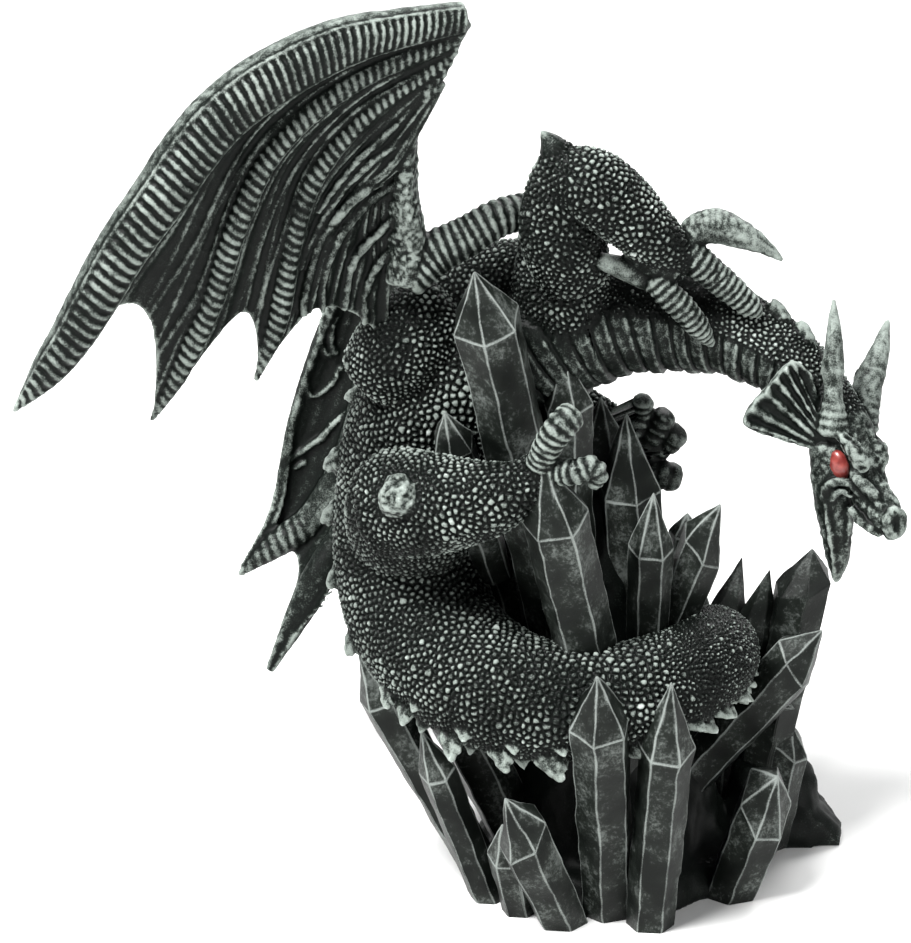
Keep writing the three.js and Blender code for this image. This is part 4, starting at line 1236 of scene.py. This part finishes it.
def brushed(skin, reach, full, up=None, tone=None):
    """How much silver each vertex takes: what stands up takes it in uneven strokes, pebbles one by one."""
    stand = skin.stand(reach)
    raised = smoothstep(-0.3 * full, full, stand)
    sunk = smoothstep(0.25 * full, 1.2 * full, -stand)
    patch = wander(skin.points, 7.0, 3)
    mottle = 0.5 + 0.5 * wander(skin.points, 1.1, 14)
    brush = skin.cover["pale"] * (0.5 + mottle) + raised * (0.55 + 0.25 * patch + 0.3 * mottle) - 0.6 * sunk
    if up is not None:
        weight = skin.cover["pebble"]
        lightness = (0.42 + 0.38 * tone + 0.2 * (tone > 1 - BRIGHT_PEBBLES)) * (0.95 + 0.45 * patch)
        bead = smoothstep(0.15, 0.9, up) * lightness
        dust = skin.cover["pale"] * (0.4 + mottle)
        brush = brush * (1 - weight) + (bead + dust - 0.45 * (1 - up)) * weight
    return np.clip(brush * skin.cover["takes"], *BRUSH_RANGE)


DRAGON_CUTS = (0.2, 0.345, 0.47)  # shares of the spine where the dragon's mesh is divided
SPINE_STEPS = 400
CUT_SOFTENING = 60  # rounds of smoothing that make a cut a clean line
DRAGON_PIECES = ("dragon_head_and_neck", "dragon_chest_and_arms", "dragon_haunches", "dragon_coils")


def dragon():
    """The dragon without its wings and eyes, divided into four meshes."""
    skin = Skin([neck_body_tail(), *crest(), *limbs(), *head()], BODY_VOXEL, 1)
    roughen(skin)
    up, tone = pebbles(skin)
    t = np.linspace(0, 1, SPINE_STEPS)
    spine = strand(SPINE, BACKS, t)[0] * SHARE
    share = skin.soften(t[nearest(skin.points, spine)], CUT_SOFTENING)
    brush = brushed(skin, BRUSH_REACH, DRAGON_FULL, up, tone)
    left = skin.thin_out(BODY_KEPT, {"brush": brush, "share": share})
    labels = np.searchsorted(DRAGON_CUTS, left["share"]).astype(float)
    made = pieces_of(DRAGON_PIECES, skin, labels, {"brush": left["brush"]})
    for thing in made:
        dress(thing, RESIN, "dragon_on_crystals")


def wings():
    """Each wing with its arm, as one mesh."""
    for name, node, shape, voxel in (
        ("wing_right_cast", "wing_right", RIGHT_WING, RIGHT_WING_VOXEL),
        ("wing_left_cast", "wing_left", LEFT_WING, LEFT_WING_VOXEL),
    ):
        skin = Skin(wing(shape), voxel, 0)
        roughen(skin)
        left = skin.thin_out(WING_KEPT, {"brush": brushed(skin, BRUSH_REACH, WING_FULL)})
        made = pieces_of([name], skin, np.zeros(len(skin.points)), left)[0]
        dress(made, RESIN, node)


def base():
    """The crystals and the rock that they grow from."""
    made = crystal_piece("crystal_cluster", CRYSTALS)
    dress(made, CRYSTAL, "dragon_on_crystals")
    skin = Skin(rock_forms(), ROCK_VOXEL, 2)
    rough = wander(skin.points, 6, 21) * 0.9 + wander(skin.points, 2.4, 22) * 0.5
    skin.push(rough * (skin.points[:, 2] > FLAT_FOOT))
    skin.points[:, 2] = np.maximum(skin.points[:, 2], 0)
    brush = brushed(skin, ROCK_REACH, ROCK_FULL)
    made = pieces_of(["crystal_rock"], skin, np.zeros(len(skin.points)), {"brush": brush})[0]
    dress(made, RESIN, "dragon_on_crystals")


def eyes():
    """Two gems, flattened towards the skull and tall."""
    rows, around = 24, 36
    polar = np.linspace(0, math.pi, rows + 1)[1:-1]
    theta = np.arange(around) / around * 2 * math.pi
    for name, (centre, outward) in EYES.items():
        hoops = []
        for p in polar:
            x, z = np.sin(p) * np.cos(theta), np.sin(p) * np.sin(theta)
            hoops.append(np.column_stack([x, np.full(around, np.cos(p)), z]))
        points = np.vstack([*hoops, (0, 1, 0), (0, -1, 0)]) * EYE_RADIUS * (GEM_WIDE, GEM_DEPTH, GEM_TALL)
        turn = Vector((0, 1, 0)).rotation_difference(Vector(outward).normalized())
        points = np.array([turn @ Vector(p) for p in points]) + np.array(centre) * SHARE
        j = np.arange(around)
        n = (j + 1) % around
        top, last = len(points) - 2, (rows - 2) * around
        faces = np.vstack([
            grid_faces(rows - 1, around, True)[:, ::-1],
            fan_faces(j, n, top),
            fan_faces(last + n, last + j, top + 1),
        ])
        made = piece(name + "_gem", points, faces, {})
        dress(made, GEM, name)


dragon()
wings()
base()
eyes()


# Floor, light and camera, in metres

CAMERA_AIM = (-0.0417, 0.0, 0.0848)
CAMERA_DISTANCE = 0.8
CAMERA_ELEVATION = 20  # degrees
CAMERA_LENS = 152.7  # millimetres
FLOOR_HALF = 3.0
SKY_STRENGTH = 0.24
LAMPS = {  # place, size and power in watts
    "key": ((-0.45, -0.45, 1.0), 0.45, 28),
    "fill": ((0.7, -0.7, 0.5), 0.6, 4),
    "rim": ((0.3, 0.7, 0.7), 0.5, 8),
}


def stage():
    """A pale floor and an even sky."""
    corners = np.array([(-1, -1, 0), (1, -1, 0), (1, 1, 0), (-1, 1, 0)]) * FLOOR_HALF
    floor = placed("floor", bpy_mesh("floor", corners, [(0, 1, 2, 3)]))
    material, _, surface = nodes_of("pale floor")
    surface.inputs["Base Color"].default_value = FLOOR_WHITE
    surface.inputs["Roughness"].default_value = 0.9
    floor.data.materials.append(material)
    world = bpy.data.worlds.new("studio")
    world.use_nodes = True
    sky = world.node_tree.nodes["Background"].inputs
    sky["Color"].default_value = SKY_WHITE
    sky["Strength"].default_value = SKY_STRENGTH
    bpy.context.scene.world = world
    bpy.context.scene.view_settings.view_transform = "Standard"


def aim(thing, place):
    """Puts a lamp or the camera at the place, facing the middle of the picture."""
    thing.location = place
    thing.rotation_euler = (Vector(CAMERA_AIM) - place).to_track_quat("-Z", "Y").to_euler()
    return thing


def lamp(name, place, size, power):
    light = bpy.data.lights.new(name, "AREA")
    light.shape = "DISK"
    light.size = size
    light.energy = power
    aim(placed(name, light), Vector(place))


def camera():
    lens = bpy.data.cameras.new("camera")
    lens.lens = CAMERA_LENS
    lens.clip_start = 0.01
    tilt = math.radians(CAMERA_ELEVATION)
    away = Vector((0, -math.cos(tilt), math.sin(tilt)))
    bpy.context.scene.camera = aim(placed("camera", lens), Vector(CAMERA_AIM) + away * CAMERA_DISTANCE)


stage()
for name, (place, size, power) in LAMPS.items():
    lamp(name, place, size, power)
camera()
